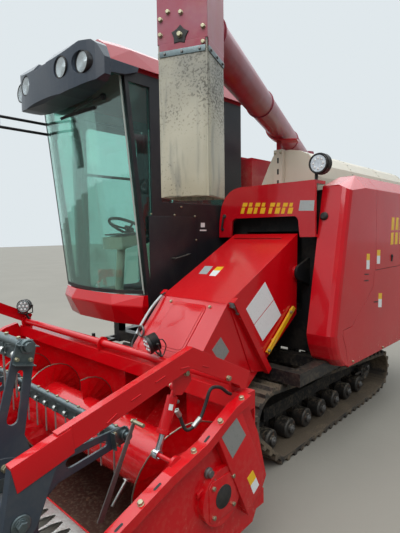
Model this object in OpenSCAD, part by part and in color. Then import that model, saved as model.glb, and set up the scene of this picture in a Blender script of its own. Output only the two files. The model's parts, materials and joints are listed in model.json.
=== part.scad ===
// Tracked combine harvester: header with pick-up reel, feeder house, cab, threshing body, grain tank
// and swinging unloading tube on two rubber tracks. Millimetres.
// Working datum: X = 0 midway between the tracks, +X the machine's left, -Y forward, Z = 0 the ground.
// The datum is then moved so that the origin lies under the middle of the whole machine.

/* [Machine] */
// Length of the straw hood behind the threshing body
hood_len = 250; // [200:10:400]
// Clearance between curved faces of neighbouring pieces that seat on each other
fit_gap = 0.3; // [0.2:0.1:0.6]
// Thickness of formed sheet panels
panel_t = 20; // [12:1:26]

/* [Tracks] */
// Distance from the middle of the machine to the outer edge of a track
track_outer_x = 900; // [860:10:960]
// Width of a track belt
track_w = 500; // [440:10:520]
// Thickness of the belt without its lugs
belt_t = 25; // [18:1:30]
// Height of a ground lug
lug_h = 26; // [18:1:32]
// Width of a lug's tip along the belt
lug_tip = 26; // [18:1:34]
// Width of a lug's foot along the belt
lug_foot = 48; // [38:1:56]
// Lugs on one belt
lug_count = 56; // [46:1:60]
// Height of the drive sprocket's centre
sprocket_z = 380; // [360:5:410]
// Place of the drive sprocket's centre
sprocket_y = 200; // [160:10:240]
// Reach of the lug tips round the sprocket
sprocket_reach = 210; // [195:1:215]
// Place of the rear idler's centre
idler_y = 2170; // [2120:10:2260]
// Height of the rear idler's centre
idler_z = 225; // [215:1:240]
// Reach of the lug tips round the idler
idler_reach = 200; // [180:1:210]
// Height of the ground rollers' centres
roller_z = 128; // [118:1:134]
// Place of the first ground roller
first_roller_y = 358; // [340:2:400]
// Place of the last ground roller
last_roller_y = 1886; // [1840:2:1920]
// Ground rollers under each track
roller_count = 7; // [5:1:7]
// Width over the two treads of a roller
roller_w = 300; // [240:10:320]
// Thickness of the hanger that carries a roller between its treads
hanger_t = 60; // [40:2:70]
// Diameter of the rollers' axles
axle_d = 50; // [36:1:56]
// Teeth on the drive sprocket
sprocket_teeth = 11; // [9:1:13]

/* [Chassis] */
// Underside of the deck frame
deck_z = 600; // [598:2:620]
// Height of the deck frame's tubes
deck_h = 90; // [70:5:100]
// Half the width of the deck frame
deck_half_w = 1046; // [1000:2:1060]
// Width of the deck frame's tubes
deck_tube_w = 86; // [70:2:100]
// Front end of the deck frame
deck_front = 300; // [290:5:330]
// Rear end of the deck frame
deck_rear = 2980; // [2900:10:3050]
// Diameter of the pin hole in the rear hitch
hitch_pin_d = 25; // [20:1:32]

/* [Header] */
// Inner face of the header's left end plate
header_left = 1250; // [1240:2:1262]
// Inner face of the header's right end plate
header_right = -1200; // [-1210:2:-1190]
// Thickness of an end plate
end_plate_t = 14; // [8:1:16]
// Place of the auger's axis
auger_y = -790; // [-800:2:-780]
// Height of the auger's axis
auger_z = 475; // [470:1:482]
// Diameter of the auger's drum
drum_d = 300; // [260:5:320]
// Diameter over the auger's flights
flight_d = 550; // [520:5:556]
// Running gap between the flights and the trough
auger_gap = 20; // [15:1:24]
// Thickness of the trough's sheet
trough_t = 8; // [5:1:10]
// Place of the trough's front edge
floor_front_y = -1110; // [-1130:2:-1100]
// Height of the header's back wall
header_back_z = 860; // [850:2:875]
// Spacing of the knife guards
guard_pitch = 76.2; // [70:0.1:90]
// Length of a knife guard
guard_len = 120; // [90:2:130]

/* [Reel] */
// Place of the reel's axis
reel_y = -1650; // [-1660:2:-1640]
// Height of the reel's axis
reel_z = 765; // [755:1:775]
// Distance from the reel's axis to its tine bars
reel_r = 512; // [500:1:515]
// Tine bars on the reel
bar_count = 5; // [5:1:5]
// Angle of the first tine bar above the rear
bar_phase = 5; // [0:1:20]
// Spacing of the tines
tine_pitch = 100; // [85:1:150]
// Length of a tine
tine_len = 190; // [160:2:200]
// Thickness of a tine
tine_d = 6; // [4:1:8]
// Place of the reel arms' pivot
arm_pivot_y = -550; // [-556:1:-544]
// Height of the reel arms' pivot
arm_pivot_z = 903; // [898:1:910]
// Distance from an end plate's inner face to the middle of its reel arm
arm_inset = 44; // [40:1:50]
// Width of a reel arm
arm_w = 34; // [24:1:38]

/* [Feeder house] */
// Right face of the feeder house
feeder_right = 184; // [180:1:190]
// Left face of the feeder house
feeder_left = 788; // [782:1:792]
// Thickness of the feeder's walls
feeder_t = 14; // [8:1:16]
// Place of the pivot about which the header lifts
lift_pivot_y = 690; // [680:1:700]
// Height of the pivot about which the header lifts
lift_pivot_z = 1330; // [1320:1:1340]

/* [Cab] */
// Width of the cab
cab_w = 1110; // [1090:2:1120]
// Rear face of the cab
cab_rear_y = 1030; // [1010:2:1050]
// Top of the cab floor
cab_floor_z = 990; // [980:2:1000]
// Top of the cab's frame and windscreen
cab_roof_z = 2790; // [2770:2:2800]
// Thickness of the cab's pillars and walls
cab_wall = 40; // [30:1:46]
// Thickness of the glass
glass_t = 6; // [5:1:8]
// Lean of the windscreen forward at its top
windscreen_lean = 6.2; // [4:0.2:7]
// Depth of the windscreen's curve in plan
windscreen_bulge = 90; // [60:2:110]

/* [Body] */
// Distance from the deck frame's edge to the outer face of the left side covers
cover_out = 99; // [90:1:110]
// Front face of the arch over the feeder
arch_y = 700; // [694:1:706]
// Front wall of the threshing body
body_front_y = 830; // [825:1:850]
// Rear wall of the threshing body
body_rear_y = 2900; // [2850:10:2960]
// Top of the threshing body
body_top_z = 1950; // [1930:2:1960]
// Front wall of the grain tank
tank_front_y = 1200; // [1190:2:1220]
// Rear wall of the grain tank
tank_rear_y = 2430; // [2400:2:2434]
// Top of the grain tank
tank_top_z = 2350; // [2330:2:2356]
// Underside of the grain tank's straight walls
tank_floor_z = 1450; // [1430:2:1500]
// Thickness of the grain tank's walls
tank_t = 12; // [8:1:16]

/* [Unloading tube] */
// Place of the tube's swing axis across the machine
riser_x = -195; // [-205:1:-185]
// Place of the tube's swing axis along the machine
riser_y = 2560; // [2554:1:2570]
// Height of the unloading tube's middle
tube_z = 2480; // [2478:1:2500]
// Diameter of the unloading tube
tube_d = 175; // [160:1:182]
// Turn of the stowed tube away from straight ahead
tube_turn = 22.8; // [22:0.1:23.5]
// Distance from the swing axis to the middle of the spout
tube_reach = 3774; // [3740:2:3790]
// Width of the spout and the chute
spout_w = 200; // [180:2:206]
// Lower end of the chute
chute_z = 1776; // [1770:2:1840]

/* [Hidden] */
$fn = 40;

tine_lean = 14;
bar_eye = 22;
bar_angles = [for (i = [0 : bar_count - 1]) bar_phase + i * 360 / bar_count];
machine_rear = body_rear_y + hood_len;
reel_front = reel_y + min([for (a = bar_angles) (reel_r + bar_eye) * cos(a) - (bar_eye + 2) * abs(sin(a))]);
datum_y = -(machine_rear + reel_front) / 2;

track_x = track_outer_x - track_w / 2;
tread_t = belt_t + lug_h;
roller_r = roller_z - tread_t - 1.6;
idler_r = idler_reach - tread_t - 2.2;
sprocket_r = sprocket_reach - tread_t - 2.2;
beam_w = 120;
beam_z = 235;
beam_h = 100;
idler_w = 150;
fork_t = 12;
fork_gap = 8;
hub_face = 50;

deck_top = deck_z + deck_h;
cross_tube_w = 90;
cross_ys = [600, 1650];
header_mid = (header_left + header_right) / 2;
trough_r = flight_d / 2 + auger_gap;
arm_x = header_left - arm_inset - header_mid;
spider_x = arm_x - 156;
spider_root = 210;
spider_hub_r = 140;
bar_half = spider_x + 40;
cylinder_x = 290;
ear_gap = 27;
ear_t = 14;
eye_w = 28;
lift_eye_w = 50;
lift_pin_d = 30;
lift_pivot_d = 60;
reel_pin_d = 20;

cab_right = -cab_w;
cab_front_y = -150;
door_y = [40, 770];
sill_z = 1880;
arch_z = 1756;
window_top = cab_roof_z - 80;

// Left side of the body: outer and inner faces of the covers, and the side of the threshing body
cover_x = deck_half_w + cover_out;
body_left = cover_x - 60;
front_cover_left = cover_x - 210;
rail_x = cover_x - 185;
bevel_z = 1962;
bevel_top = [cover_x - 85, 2063];
hood_gap = 40;

red = [0.80, 0.09, 0.11];
dark_red = [0.55, 0.07, 0.10];
black = [0.09, 0.09, 0.10];
grey = [0.42, 0.43, 0.45];
dark_grey = [0.23, 0.25, 0.28];
zinc = [0.66, 0.67, 0.68];
cream = [0.80, 0.78, 0.69];
teal = [0.35, 0.62, 0.60, 0.45];
yellow = [0.93, 0.76, 0.10];
rubber = [0.16, 0.14, 0.12];

// Helpers

// Moves a piece from the working datum to the part's origin
module placed() translate([0, datum_y, 0]) children();

// A box between two opposite corners
module block(low, high) translate(low) cube(high - low);

// A drawing of (y, z) points made solid between two places across the machine
module across(x0, x1) translate([x0, 0, 0]) rotate([90, 0, 90]) linear_extrude(x1 - x0) children();

// A drawing of (x, z) points made solid between two places along the machine
module lengthwise(y0, y1) translate([0, y1, 0]) rotate([90, 0, 0]) linear_extrude(y1 - y0) children();

// A drawing of (x, y) points made solid between two heights
module upright(z0, z1) translate([0, 0, z0]) linear_extrude(z1 - z0) children();

// A round bar between two points
module rod(a, b, d) {
    v = b - a;
    translate(a) rotate([0, acos(v.z / norm(v)), atan2(v.y, v.x)]) cylinder(d = d, h = norm(v));
}

// A round bar across the machine
module shaft(x0, x1, y, z, d) translate([x0, y, z]) rotate([0, 90, 0]) cylinder(d = d, h = x1 - x0);

// A body of revolution about an axis across the machine, drawn as (radius, x) points
module turned(x, y, z) translate([x, y, z]) rotate([0, 90, 0]) rotate_extrude() children();

// Copies mirrored to both tracks
module both_tracks() for (side = [0, 1]) mirror([side, 0, 0]) children();

// Copies mirrored to both ends of the header
module both_ends() for (side = [0, 1]) translate([header_mid, 0, 0]) mirror([side, 0, 0]) children();

function unit(v) = v / norm(v);
function left_normal(v) = [-v.y, v.x];

// Outline of a bent sheet: the drawn line and its copy a thickness to its left, with mitred bends
function mitre(line, i, t) =
    let (last = len(line) - 1,
         before = left_normal(unit(line[max(i, 1)] - line[max(i, 1) - 1])),
         after = left_normal(unit(line[min(i, last - 1) + 1] - line[min(i, last - 1)])),
         m = unit(before + after))
    line[i] + m * t / (m * before);
function sheet(line, t) =
    concat(line, [for (i = [len(line) - 1 : -1 : 0]) mitre(line, i, t)]);

// Points on an arc in a drawing
function arc(centre, r, a0, a1, steps) =
    [for (i = [0 : steps]) centre + r * [cos(a0 + (a1 - a0) * i / steps), sin(a0 + (a1 - a0) * i / steps)]];

// A rectangle drawing with rounded corners
module rounded(low, high, r) {
    corners = [[high.x - r, high.y - r, 0], [low.x + r, high.y - r, 90],
               [low.x + r, low.y + r, 180], [high.x - r, low.y + r, 270]];
    polygon([for (c = corners) each arc([c.x, c.y], r, c.z, c.z + 90, 4)]);
}

// Track belt path: each wheel is a place, a height and a reach of the lug tips
wheels = [[first_roller_y, roller_z, roller_z], [last_roller_y, roller_z, roller_z],
          [idler_y, idler_z, idler_reach], [sprocket_y, sprocket_z, sprocket_reach]];
function wheel(i) = wheels[(i + len(wheels)) % len(wheels)];
function gap_between(i) = [wheel(i + 1)[0] - wheel(i)[0], wheel(i + 1)[1] - wheel(i)[1]];
function leave_angle(i) =
    let (d = gap_between(i))
    atan2(d.y, d.x) - acos((wheel(i)[2] - wheel(i + 1)[2]) / norm(d));
function turn_at(i) =
    let (t = leave_angle(i) - leave_angle(i - 1))
    t < 0 ? t + 360 : (t > 360 ? t - 360 : t);
function straight_len(i) =
    sqrt(pow(norm(gap_between(i)), 2) - pow(wheel(i)[2] - wheel(i + 1)[2], 2));
function arc_len(i) = wheel(i)[2] * turn_at(i) * PI / 180;
function belt_len(i = 0) =
    i == len(wheels) ? 0 : straight_len(i) + arc_len(i + 1) + belt_len(i + 1);
function on_wheel(i, a, depth) =
    [wheel(i)[0], wheel(i)[1]] + (wheel(i)[2] - depth) * [cos(a), sin(a)];

// The point of the belt path at a distance along it and a depth below the lug tips
function belt_point(s, depth, i = 0) =
    let (run = straight_len(i), bend = arc_len(i + 1), a = leave_angle(i))
    s <= run
        ? on_wheel(i, a, depth) + [-sin(a), cos(a)] * s
        : s <= run + bend
            ? on_wheel(i + 1, a + (s - run) / wheel(i + 1)[2] * 180 / PI, depth)
            : belt_point(s - run - bend, depth, i + 1);
lug_pitch = belt_len() / lug_count;

module belt_drawing() {
    // Each lug has a foot and a tip edge before and after its middle
    edges = [[-lug_foot / 2, lug_h], [-lug_tip / 2, 0], [lug_tip / 2, 0], [lug_foot / 2, lug_h]];
    difference() {
        polygon([for (k = [0 : lug_count - 1], e = edges) belt_point((k + 0.5) * lug_pitch + e.x, e.y)]);
        polygon([for (k = [0 : lug_count * 2 - 1]) belt_point(k * lug_pitch / 2, tread_t)]);
    }
}

module track(side) color(rubber) placed() mirror([side, 0, 0])
    across(track_outer_x - track_w, track_outer_x) belt_drawing();

module track_left() track(0);
module track_right() track(1);

roller_ys = [for (i = [0 : roller_count - 1])
             first_roller_y + (last_roller_y - first_roller_y) * i / (roller_count - 1)];
carrier_y = 1150;
carrier_d = 90;
carrier_z = let (a = leave_angle(2), p = on_wheel(2, a, tread_t))
    p.y + (carrier_y - p.x) * cos(a) / -sin(a) - (carrier_d / 2 + fit_gap) / sin(a);

module ground_rollers() color(dark_grey) placed() both_tracks() {
    half = roller_w / 2;
    inner = hanger_t / 2 + fit_gap;
    for (y = roller_ys)
        turned(track_x, y, roller_z)
            polygon([[0, -half], [roller_r * 0.45, -half], [roller_r * 0.5, -half + 12],
                     [roller_r * 0.86, -half + 12], [roller_r, -half + 22], [roller_r, -inner - 14],
                     [roller_r * 0.9, -inner], [axle_d / 2, -inner], [axle_d / 2, inner],
                     [roller_r * 0.9, inner], [roller_r, inner + 14], [roller_r, half - 22],
                     [roller_r * 0.86, half - 12], [roller_r * 0.5, half - 12],
                     [roller_r * 0.45, half], [0, half]]);
    turned(track_x, carrier_y, carrier_z)
        polygon([[0, -half / 2], [carrier_d / 2, -half / 2], [carrier_d / 2, -inner], [axle_d / 2 - 8, -inner],
                 [axle_d / 2 - 8, inner], [carrier_d / 2, inner], [carrier_d / 2, half / 2], [0, half / 2]]);
}

module rear_idlers() color(dark_grey) placed() both_tracks()
    turned(track_x, idler_y, idler_z)
        polygon([[0, -idler_w / 2 - fork_gap], [34, -idler_w / 2 - fork_gap], [50, -idler_w / 2],
                 [idler_r * 0.5, -idler_w / 2 + 34], [idler_r * 0.8, -idler_w / 2 + 30],
                 [idler_r - 6, -idler_w / 2], [idler_r, -idler_w / 2 + 8], [idler_r, -24],
                 [idler_r - 26, -18], [idler_r - 26, 18], [idler_r, 24], [idler_r, idler_w / 2 - 8],
                 [idler_r - 6, idler_w / 2], [idler_r * 0.8, idler_w / 2 - 30],
                 [idler_r * 0.5, idler_w / 2 - 34], [50, idler_w / 2],
                 [34, idler_w / 2 + fork_gap], [0, idler_w / 2 + fork_gap]]);

module drive_sprockets() color(dark_grey) placed() both_tracks() {
    tooth = 360 / sprocket_teeth;
    root = sprocket_r - 34;
    across(track_x - 26, track_x + 26) translate([sprocket_y, sprocket_z])
        polygon([for (k = [0 : sprocket_teeth - 1], e = [[-0.34, root], [-0.14, sprocket_r],
                 [0.14, sprocket_r], [0.34, root]])
                 e.y * [cos((k + e.x) * tooth), sin((k + e.x) * tooth)]]);
    turned(track_x, sprocket_y, sprocket_z)
        polygon([[0, -hub_face], [92, -hub_face], [92, -26], [92, 26], [70, 40], [70, 70], [60, 80], [0, 80]]);
}

module track_frames() color(black) placed() both_tracks() {
    beam_start = sprocket_y + sprocket_r + 10;
    beam_end = idler_y - idler_r - 30;
    difference() {
        union() {
            block([track_x - beam_w / 2, beam_start, beam_z],
                  [track_x + beam_w / 2, beam_end, beam_z + beam_h]);
            for (y = roller_ys)
                across(track_x - hanger_t / 2, track_x + hanger_t / 2)
                    polygon(concat(arc([y, roller_z], axle_d / 2 + 16, 180, 360, 8),
                                   [[y + 60, beam_z + 1], [y - 60, beam_z + 1]]));
            across(track_x - hanger_t / 2, track_x + hanger_t / 2)
                polygon(concat(arc([carrier_y, carrier_z], 30, 0, 180, 8),
                               [[carrier_y - 45, beam_z + beam_h - 1], [carrier_y + 45, beam_z + beam_h - 1]]));
            for (x = [-1, 1] * (idler_w / 2 + fork_gap + fork_t / 2))
                block([track_x + x - fork_t / 2, beam_end - 40, idler_z - 40],
                      [track_x + x + fork_t / 2, idler_y + 60, idler_z + 40]);
            block([track_x - idler_w / 2 - fork_gap, beam_end - 40, roller_z + roller_r + 8],
                  [track_x + idler_w / 2 + fork_gap, beam_end, idler_z + 40]);
        }
        for (y = roller_ys) shaft(track_x - track_w, track_x + track_w, y, roller_z, axle_d + 2 * fit_gap);
        shaft(track_x - track_w, track_x + track_w, carrier_y, carrier_z, axle_d - 16 + 2 * fit_gap);
    }
}

module drive_axle() color(dark_grey) placed() {
    half = 150;
    difference() {
        across(-half, half) polygon([[60, 300], [120, 230], [300, 230], [370, 300], [370, 560],
                                     [320, 600], [110, 600], [60, 540]]);
        block([-half - 1, 0, 480], [-half + 40, 400, 601]);
        block([half - 40, 0, 480], [half + 1, 400, 601]);
    }
    both_tracks() {
        turned(0, sprocket_y, sprocket_z)
            polygon([[0, half], [100, half], [100, half + 30], [66, half + 70], [66, track_x - hub_face - 60],
                     [110, track_x - hub_face - 40], [110, track_x - hub_face], [0, track_x - hub_face]]);
    }
}

module chassis_frame() color(black) placed() {
    rail = deck_tube_w;
    for (side = [-1, 1]) {
        edge = side * deck_half_w;
        block([min(edge, edge - side * rail), deck_front, deck_z],
              [max(edge, edge - side * rail), deck_rear, deck_top]);
        block([min(side * 150, side * 230), cross_ys[0] - 45, deck_z],
              [max(side * 150, side * 230), deck_rear, deck_top]);
        for (y = cross_ys)
            block([min(side * 150, side * 230), y - 45, beam_z + cross_tube_w],
                  [max(side * 150, side * 230), y + 45, deck_z]);
    }
    block([400, deck_front, deck_z], [deck_half_w, deck_front + rail, deck_top]);
    block([-deck_half_w, deck_front, deck_z], [230, deck_front + rail, deck_top]);
    block([-230, deck_front, deck_z], [-150, cross_ys[0], deck_top]);
    for (y = [cross_ys[0] + 90, 1300, 2100, deck_rear - rail])
        block([-deck_half_w, y, deck_z], [deck_half_w, y + rail, deck_top]);
    for (y = cross_ys)
        block([-track_x + beam_w / 2, y - 45, beam_z], [track_x - beam_w / 2, y + 45, beam_z + cross_tube_w]);
    // Ears and pin that carry the foot of the lift cylinder
    for (x = [cylinder_x - ear_gap - ear_t, cylinder_x + ear_gap])
        across(x, x + ear_t) polygon([[590, 490], [650, 490], [cross_ys[0] + 120, deck_z],
                                      [cross_ys[0] + 120, deck_top], [cross_ys[0] + 60, deck_top], [585, 560]]);
    shaft(cylinder_x - ear_gap - ear_t - 4, cylinder_x + ear_gap + ear_t + 4, lift_foot.x, lift_foot.y, lift_pin_d);
    // Posts that carry the cab
    for (x = [-deck_half_w, -150 - 80], y = [deck_front, 900])
        block([x, y, deck_top], [x + 80, y + 80, cab_floor_z - 50]);
}

module rear_hitch() color(black) placed() {
    difference() {
        union() {
            block([-70, deck_rear, deck_z], [70, deck_rear + 16, deck_top]);
            for (z = [deck_z + 14, deck_top - 30])
                upright(z, z + 16) polygon(concat([[-50, deck_rear + 15], [50, deck_rear + 15]],
                                                  arc([0, deck_rear + 90], 40, 0, 180, 12)));
        }
        translate([0, deck_rear + 90, deck_z - 1]) cylinder(d = hitch_pin_d, h = deck_h + 2);
    }
}

// Cab

module cab_floor() color(black) placed() {
    block([cab_right, cab_front_y + 40, cab_floor_z - 50], [0, cab_rear_y, cab_floor_z]);
    block([cab_right + cab_wall, cab_front_y + 40, cab_floor_z],
          [-cab_wall, cab_front_y + 70, cab_floor_z + 180]);
}

// Plan of the windscreen as a curved strip, its ends on the cab's front corners
module windscreen_plan(t) {
    half = cab_w / 2;
    r = (half * half + windscreen_bulge * windscreen_bulge) / (2 * windscreen_bulge);
    spread = asin(half / r);
    centre = [-half, r - windscreen_bulge];
    polygon(concat(arc(centre, r, 270 - spread, 270 + spread, 12),
                   arc(centre, r - t, 270 + spread, 270 - spread, 12)));
}

screen_foot_z = 1187;
screen_len = (cab_roof_z - screen_foot_z) / cos(windscreen_lean);
module windscreen() color(teal) placed()
    translate([0, cab_front_y, screen_foot_z]) rotate([windscreen_lean, 0, 0])
        linear_extrude(screen_len) windscreen_plan(glass_t);

// Side wall of the cab: lower panel, pillars and roof rail round the window
screen_top_y = cab_front_y - (cab_roof_z - screen_foot_z) * tan(windscreen_lean);
module side_wall_drawing(solid_below) {
    difference() {
        polygon([[cab_front_y + 30, cab_floor_z], [cab_rear_y, cab_floor_z], [cab_rear_y, cab_roof_z],
                 [screen_top_y + 30, cab_roof_z], [cab_front_y + 30, screen_foot_z]]);
        polygon([[cab_front_y + 60, screen_foot_z + 60], [-60, screen_foot_z + 60],
                 [-60, window_top], [screen_top_y + 70, window_top]]);
        polygon([[door_y.x, solid_below], [door_y.y, solid_below], [door_y.y, window_top - 10],
                 [door_y.x, window_top - 10]]);
    }
}

module cab_frame() color(black) placed() {
    across(-cab_wall, 0) side_wall_drawing(sill_z);
    across(cab_right, cab_right + cab_wall) side_wall_drawing(cab_floor_z + 30);
    difference() {
        block([cab_right + cab_wall, cab_rear_y - cab_wall, cab_floor_z], [-cab_wall, cab_rear_y, cab_roof_z]);
        block([cab_right + 160, cab_rear_y - cab_wall - 1, 1800], [-160, cab_rear_y + 1, window_top - 70]);
    }
    block([cab_right + cab_wall, cab_rear_y - 140, cab_roof_z - 40], [-cab_wall, cab_rear_y - cab_wall, cab_roof_z]);
}

module side_glass() color(teal) placed() {
    inset = 0.5 * cab_wall;
    for (x = [-inset, cab_right + inset])
        across(x - glass_t / 2, x + glass_t / 2)
            polygon([[cab_front_y + 60.3, screen_foot_z + 60.3], [-60.3, screen_foot_z + 60.3],
                     [-60.3, window_top - 0.3], [screen_top_y + 70.3, window_top - 0.3]]);
    across(-inset - glass_t / 2, -inset + glass_t / 2)
        polygon([[door_y.x + 0.3, sill_z + 0.3], [door_y.y - 0.3, sill_z + 0.3],
                 [door_y.y - 0.3, window_top - 10.3], [door_y.x + 0.3, window_top - 10.3]]);
    block([cab_right + 160.3, cab_rear_y - inset - glass_t / 2, 1800.3],
          [-160.3, cab_rear_y - inset + glass_t / 2, window_top - 70.3]);
}

roof_over = 34;
roof_gap = 20;
// Half of the roof's outline in plan at three heights, from the front back, measured from the cab's side
roof_rings = [[0, [[roof_over - 12, -420], [roof_over, 0], [roof_over, cab_rear_y + 20]]],
              [130, [[-62, -412], [-30, -200], [-30, cab_rear_y - 45]]],
              [179, [[-140, -400], [-108, -250], [-108, cab_rear_y - 210], [-150, cab_rear_y - 150]]]];
module cab_roof() color(red) placed() {
    low = cab_roof_z + roof_gap;
    hull() for (ring = roof_rings)
        upright(low + ring[0], low + ring[0] + 1)
            polygon(concat(ring[1], [for (i = [len(ring[1]) - 1 : -1 : 0]) [cab_right - ring[1][i].x, ring[1][i].y]]));
    block([cab_right, screen_top_y + 60, cab_roof_z], [0, cab_rear_y, low + 1]);
}

// Front face of the visor: bowed in plan, flatter in the middle
visor_half = 590;
function visor_y(x) =
    let (s = (x - cab_right / 2) / visor_half)
    -625 + 40 * pow(s, 2) + 120 * pow(s, 4);
visor_back = -420.3;
module roof_visor() color(black) placed() {
    mid = cab_right / 2;
    low = cab_roof_z + roof_gap;
    // Half of the outline seen from the front, from the notch in the top round to the middle of the lip
    half = [[0, 2847], [92, 2847], [104, 2912], [116, 2922], [516, 2922], [548, 2896], [586, 2812],
            [586, 2700], [540, 2664], [400, 2628], [250, 2608], [0, 2600]];
    xs = [for (i = [-12 : 12]) mid + i * 49];
    difference() {
        intersection() {
            lengthwise(-700, visor_back)
                polygon(concat([for (p = half) [mid + p.x, p.y]],
                               [for (i = [len(half) - 2 : -1 : 1]) [mid - half[i].x, half[i].y]]));
            upright(2590, 2930)
                polygon(concat([for (x = xs) [x, visor_y(x)]], [[mid + 588, visor_back - 0.1], [mid - 588, visor_back - 0.1]]));
            across(mid - visor_half, mid + visor_half)
                polygon([[visor_back + 1, 2590], [-590, 2590], [-632, 2625], [-632, 2850], [-560, 2930], [visor_back + 1, 2930]]);
        }
        for (x = lamp_xs)
            translate([x, -700, lamp_z]) rotate([-90, 0, 0]) cylinder(d = lamp_d + 2 * fit_gap, h = 700 + lamp_seat_y);
    }
    // Bar in the notch
    block([mid - 60, -600, 2840], [mid + 60, -560, 2874]);
    // Tongue over the windscreen's top edge
    block([cab_right + 40, visor_back - 10, cab_roof_z], [-40, screen_top_y + 59, low - fit_gap]);
    // Wings along the cab's sides
    for (x = [fit_gap, cab_right - 30])
        across(x, x + 30 - fit_gap)
            polygon([[visor_back - 12, 2720], [-300, 2735], [-190, 2776], [-180, low - fit_gap], [visor_back - 12, low - fit_gap]]);
}

lamp_xs = [-104, -288, -812, -1002];
lamp_z = 2785;
lamp_d = 150;
lamp_seat_y = -460;

module cab_bumper() color(red) placed() {
    plan_front = -210;
    bumper_back_y = cab_front_y + 30;
    hull() {
        upright(screen_foot_z - 42, screen_foot_z - 2 - windscreen_bulge * sin(windscreen_lean))
            polygon([[-2, bumper_back_y], [-2, cab_front_y - 8], [-300, -240], [cab_right + 300, -240],
                     [cab_right + 2, cab_front_y - 8], [cab_right + 2, bumper_back_y]]);
        upright(1090, 1100)
            polygon([[4, bumper_back_y], [4, cab_front_y - 30], [-260, plan_front - 60], [cab_right + 260, plan_front - 60],
                     [cab_right - 4, cab_front_y - 30], [cab_right - 4, bumper_back_y]]);
        upright(943, 950)
            polygon([[-30, bumper_back_y], [-40, cab_front_y + 10], [-300, plan_front], [cab_right + 300, plan_front],
                     [cab_right + 40, cab_front_y + 10], [cab_right + 30, bumper_back_y]]);
    }
}

module operator_seat() color(black) placed() {
    mid = cab_right / 2;
    block([mid - 150, 480, cab_floor_z], [mid + 150, 800, cab_floor_z + 330]);
    block([mid - 250, 400, cab_floor_z + 330], [mid + 250, 860, cab_floor_z + 440]);
    across(mid - 240, mid + 240)
        polygon([[750, cab_floor_z + 440], [860, cab_floor_z + 440], [950, cab_floor_z + 1050], [860, cab_floor_z + 1060]]);
    for (x = [mid - 300, mid + 252])
        block([x, 480, cab_floor_z + 560], [x + 48, 800, cab_floor_z + 610]);
    for (x = [mid - 300, mid + 252])
        block([x, 700, cab_floor_z + 380], [x + 48, 760, cab_floor_z + 560]);
    for (x = [mid - 300, mid + 250])
        block([x, 700, cab_floor_z + 380], [x + 50, 760, cab_floor_z + 430]);
}

module control_console() color(cream) placed() {
    across(-250, -cab_wall) polygon([[60, cab_floor_z], [900, cab_floor_z], [900, cab_floor_z + 620],
                                     [300, cab_floor_z + 640], [60, cab_floor_z + 560]]);
    rod([-150, 220, cab_floor_z + 600], [-150, 190, cab_floor_z + 820], 22);
    translate([-150, 188, cab_floor_z + 840]) sphere(d = 60);
    block([-610, -40, cab_floor_z], [-510, 60, cab_floor_z + 20]);
    rod([-560, 10, cab_floor_z + 10], [-560, 60, cab_floor_z + 560], 70);
    across(-700, -420) polygon([[-30, cab_floor_z + 520], [150, cab_floor_z + 560], [140, cab_floor_z + 640], [-40, cab_floor_z + 620]]);
}

door_x = cab_right - fit_gap;
module cab_door() color(black) placed() {
    t = 30;
    difference() {
        across(door_x - t, door_x) rounded([door_y.x - 20, cab_floor_z + 36], [door_y.y + 8, window_top], 50);
        across(door_x - t - 1, door_x + 1) rounded([door_y.x + 50, 1120], [door_y.y - 70, window_top - 70], 60);
    }
    rod([door_x - t + 1, door_y.x + 10, 1500], [door_x - t - 40, door_y.x + 10, 1500], 20);
    rod([door_x - t - 40, door_y.x + 10, 1490], [door_x - t - 40, door_y.x + 10, 1700], 20);
    rod([door_x - t + 1, door_y.x + 10, 1690], [door_x - t - 40, door_y.x + 10, 1690], 20);
}

module door_glass() color(teal) placed()
    across(door_x - 18, door_x - 12)
        rounded([door_y.x + 50.3, 1120.3], [door_y.y - 70.3, window_top - 70.3], 60);

module mirrors() color(black) placed() {
    block([cab_right - 30, screen_top_y + 80, 2490], [cab_right - fit_gap, screen_top_y + 130, 2640]);
    for (z = [2521, 2606]) rod([cab_right - 18, screen_top_y + 100, z], [cab_right - 20, -820, z], 24);
    rod([cab_right - 19, -700, 2521], [cab_right - 19, -700, 2606], 20);
    rod([cab_right - 20, -815, 2440], [cab_right - 20, -815, 2640], 24);
    hull() {
        block([-1397, -850, 2180], [cab_right - 20, -840, 2520]);
        block([-1377, -812, 2200], [cab_right - 40, -800, 2500]);
    }
    rod([cab_right - 20, -815, 2300], [cab_right - 20, -815, 2450], 24);
}

module boarding_steps() color(black) placed() {
    // Height of each tread and its reach beyond the deck
    treads = [[330, 204], [570, 144]];
    for (t = treads) difference() {
        outer = -deck_half_w - t[1];
        block([outer, 60, t[0]], [-deck_half_w, 560, t[0] + 26]);
        for (i = [0 : 3])
            block([outer + 26, 90 + i * 115, t[0] - 1], [-deck_half_w - 30, 90 + i * 115 + 80, t[0] + 27]);
    }
    for (y = [60, 540])
        across(-deck_half_w - 30, -deck_half_w) polygon([[y, 330], [y + 20, 330], [y + 20, deck_top], [y, deck_top]]);
    block([-deck_half_w, deck_front, deck_z - 24], [-deck_half_w + 80, 560, deck_z - 0.3]);
}

// Body

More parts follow.
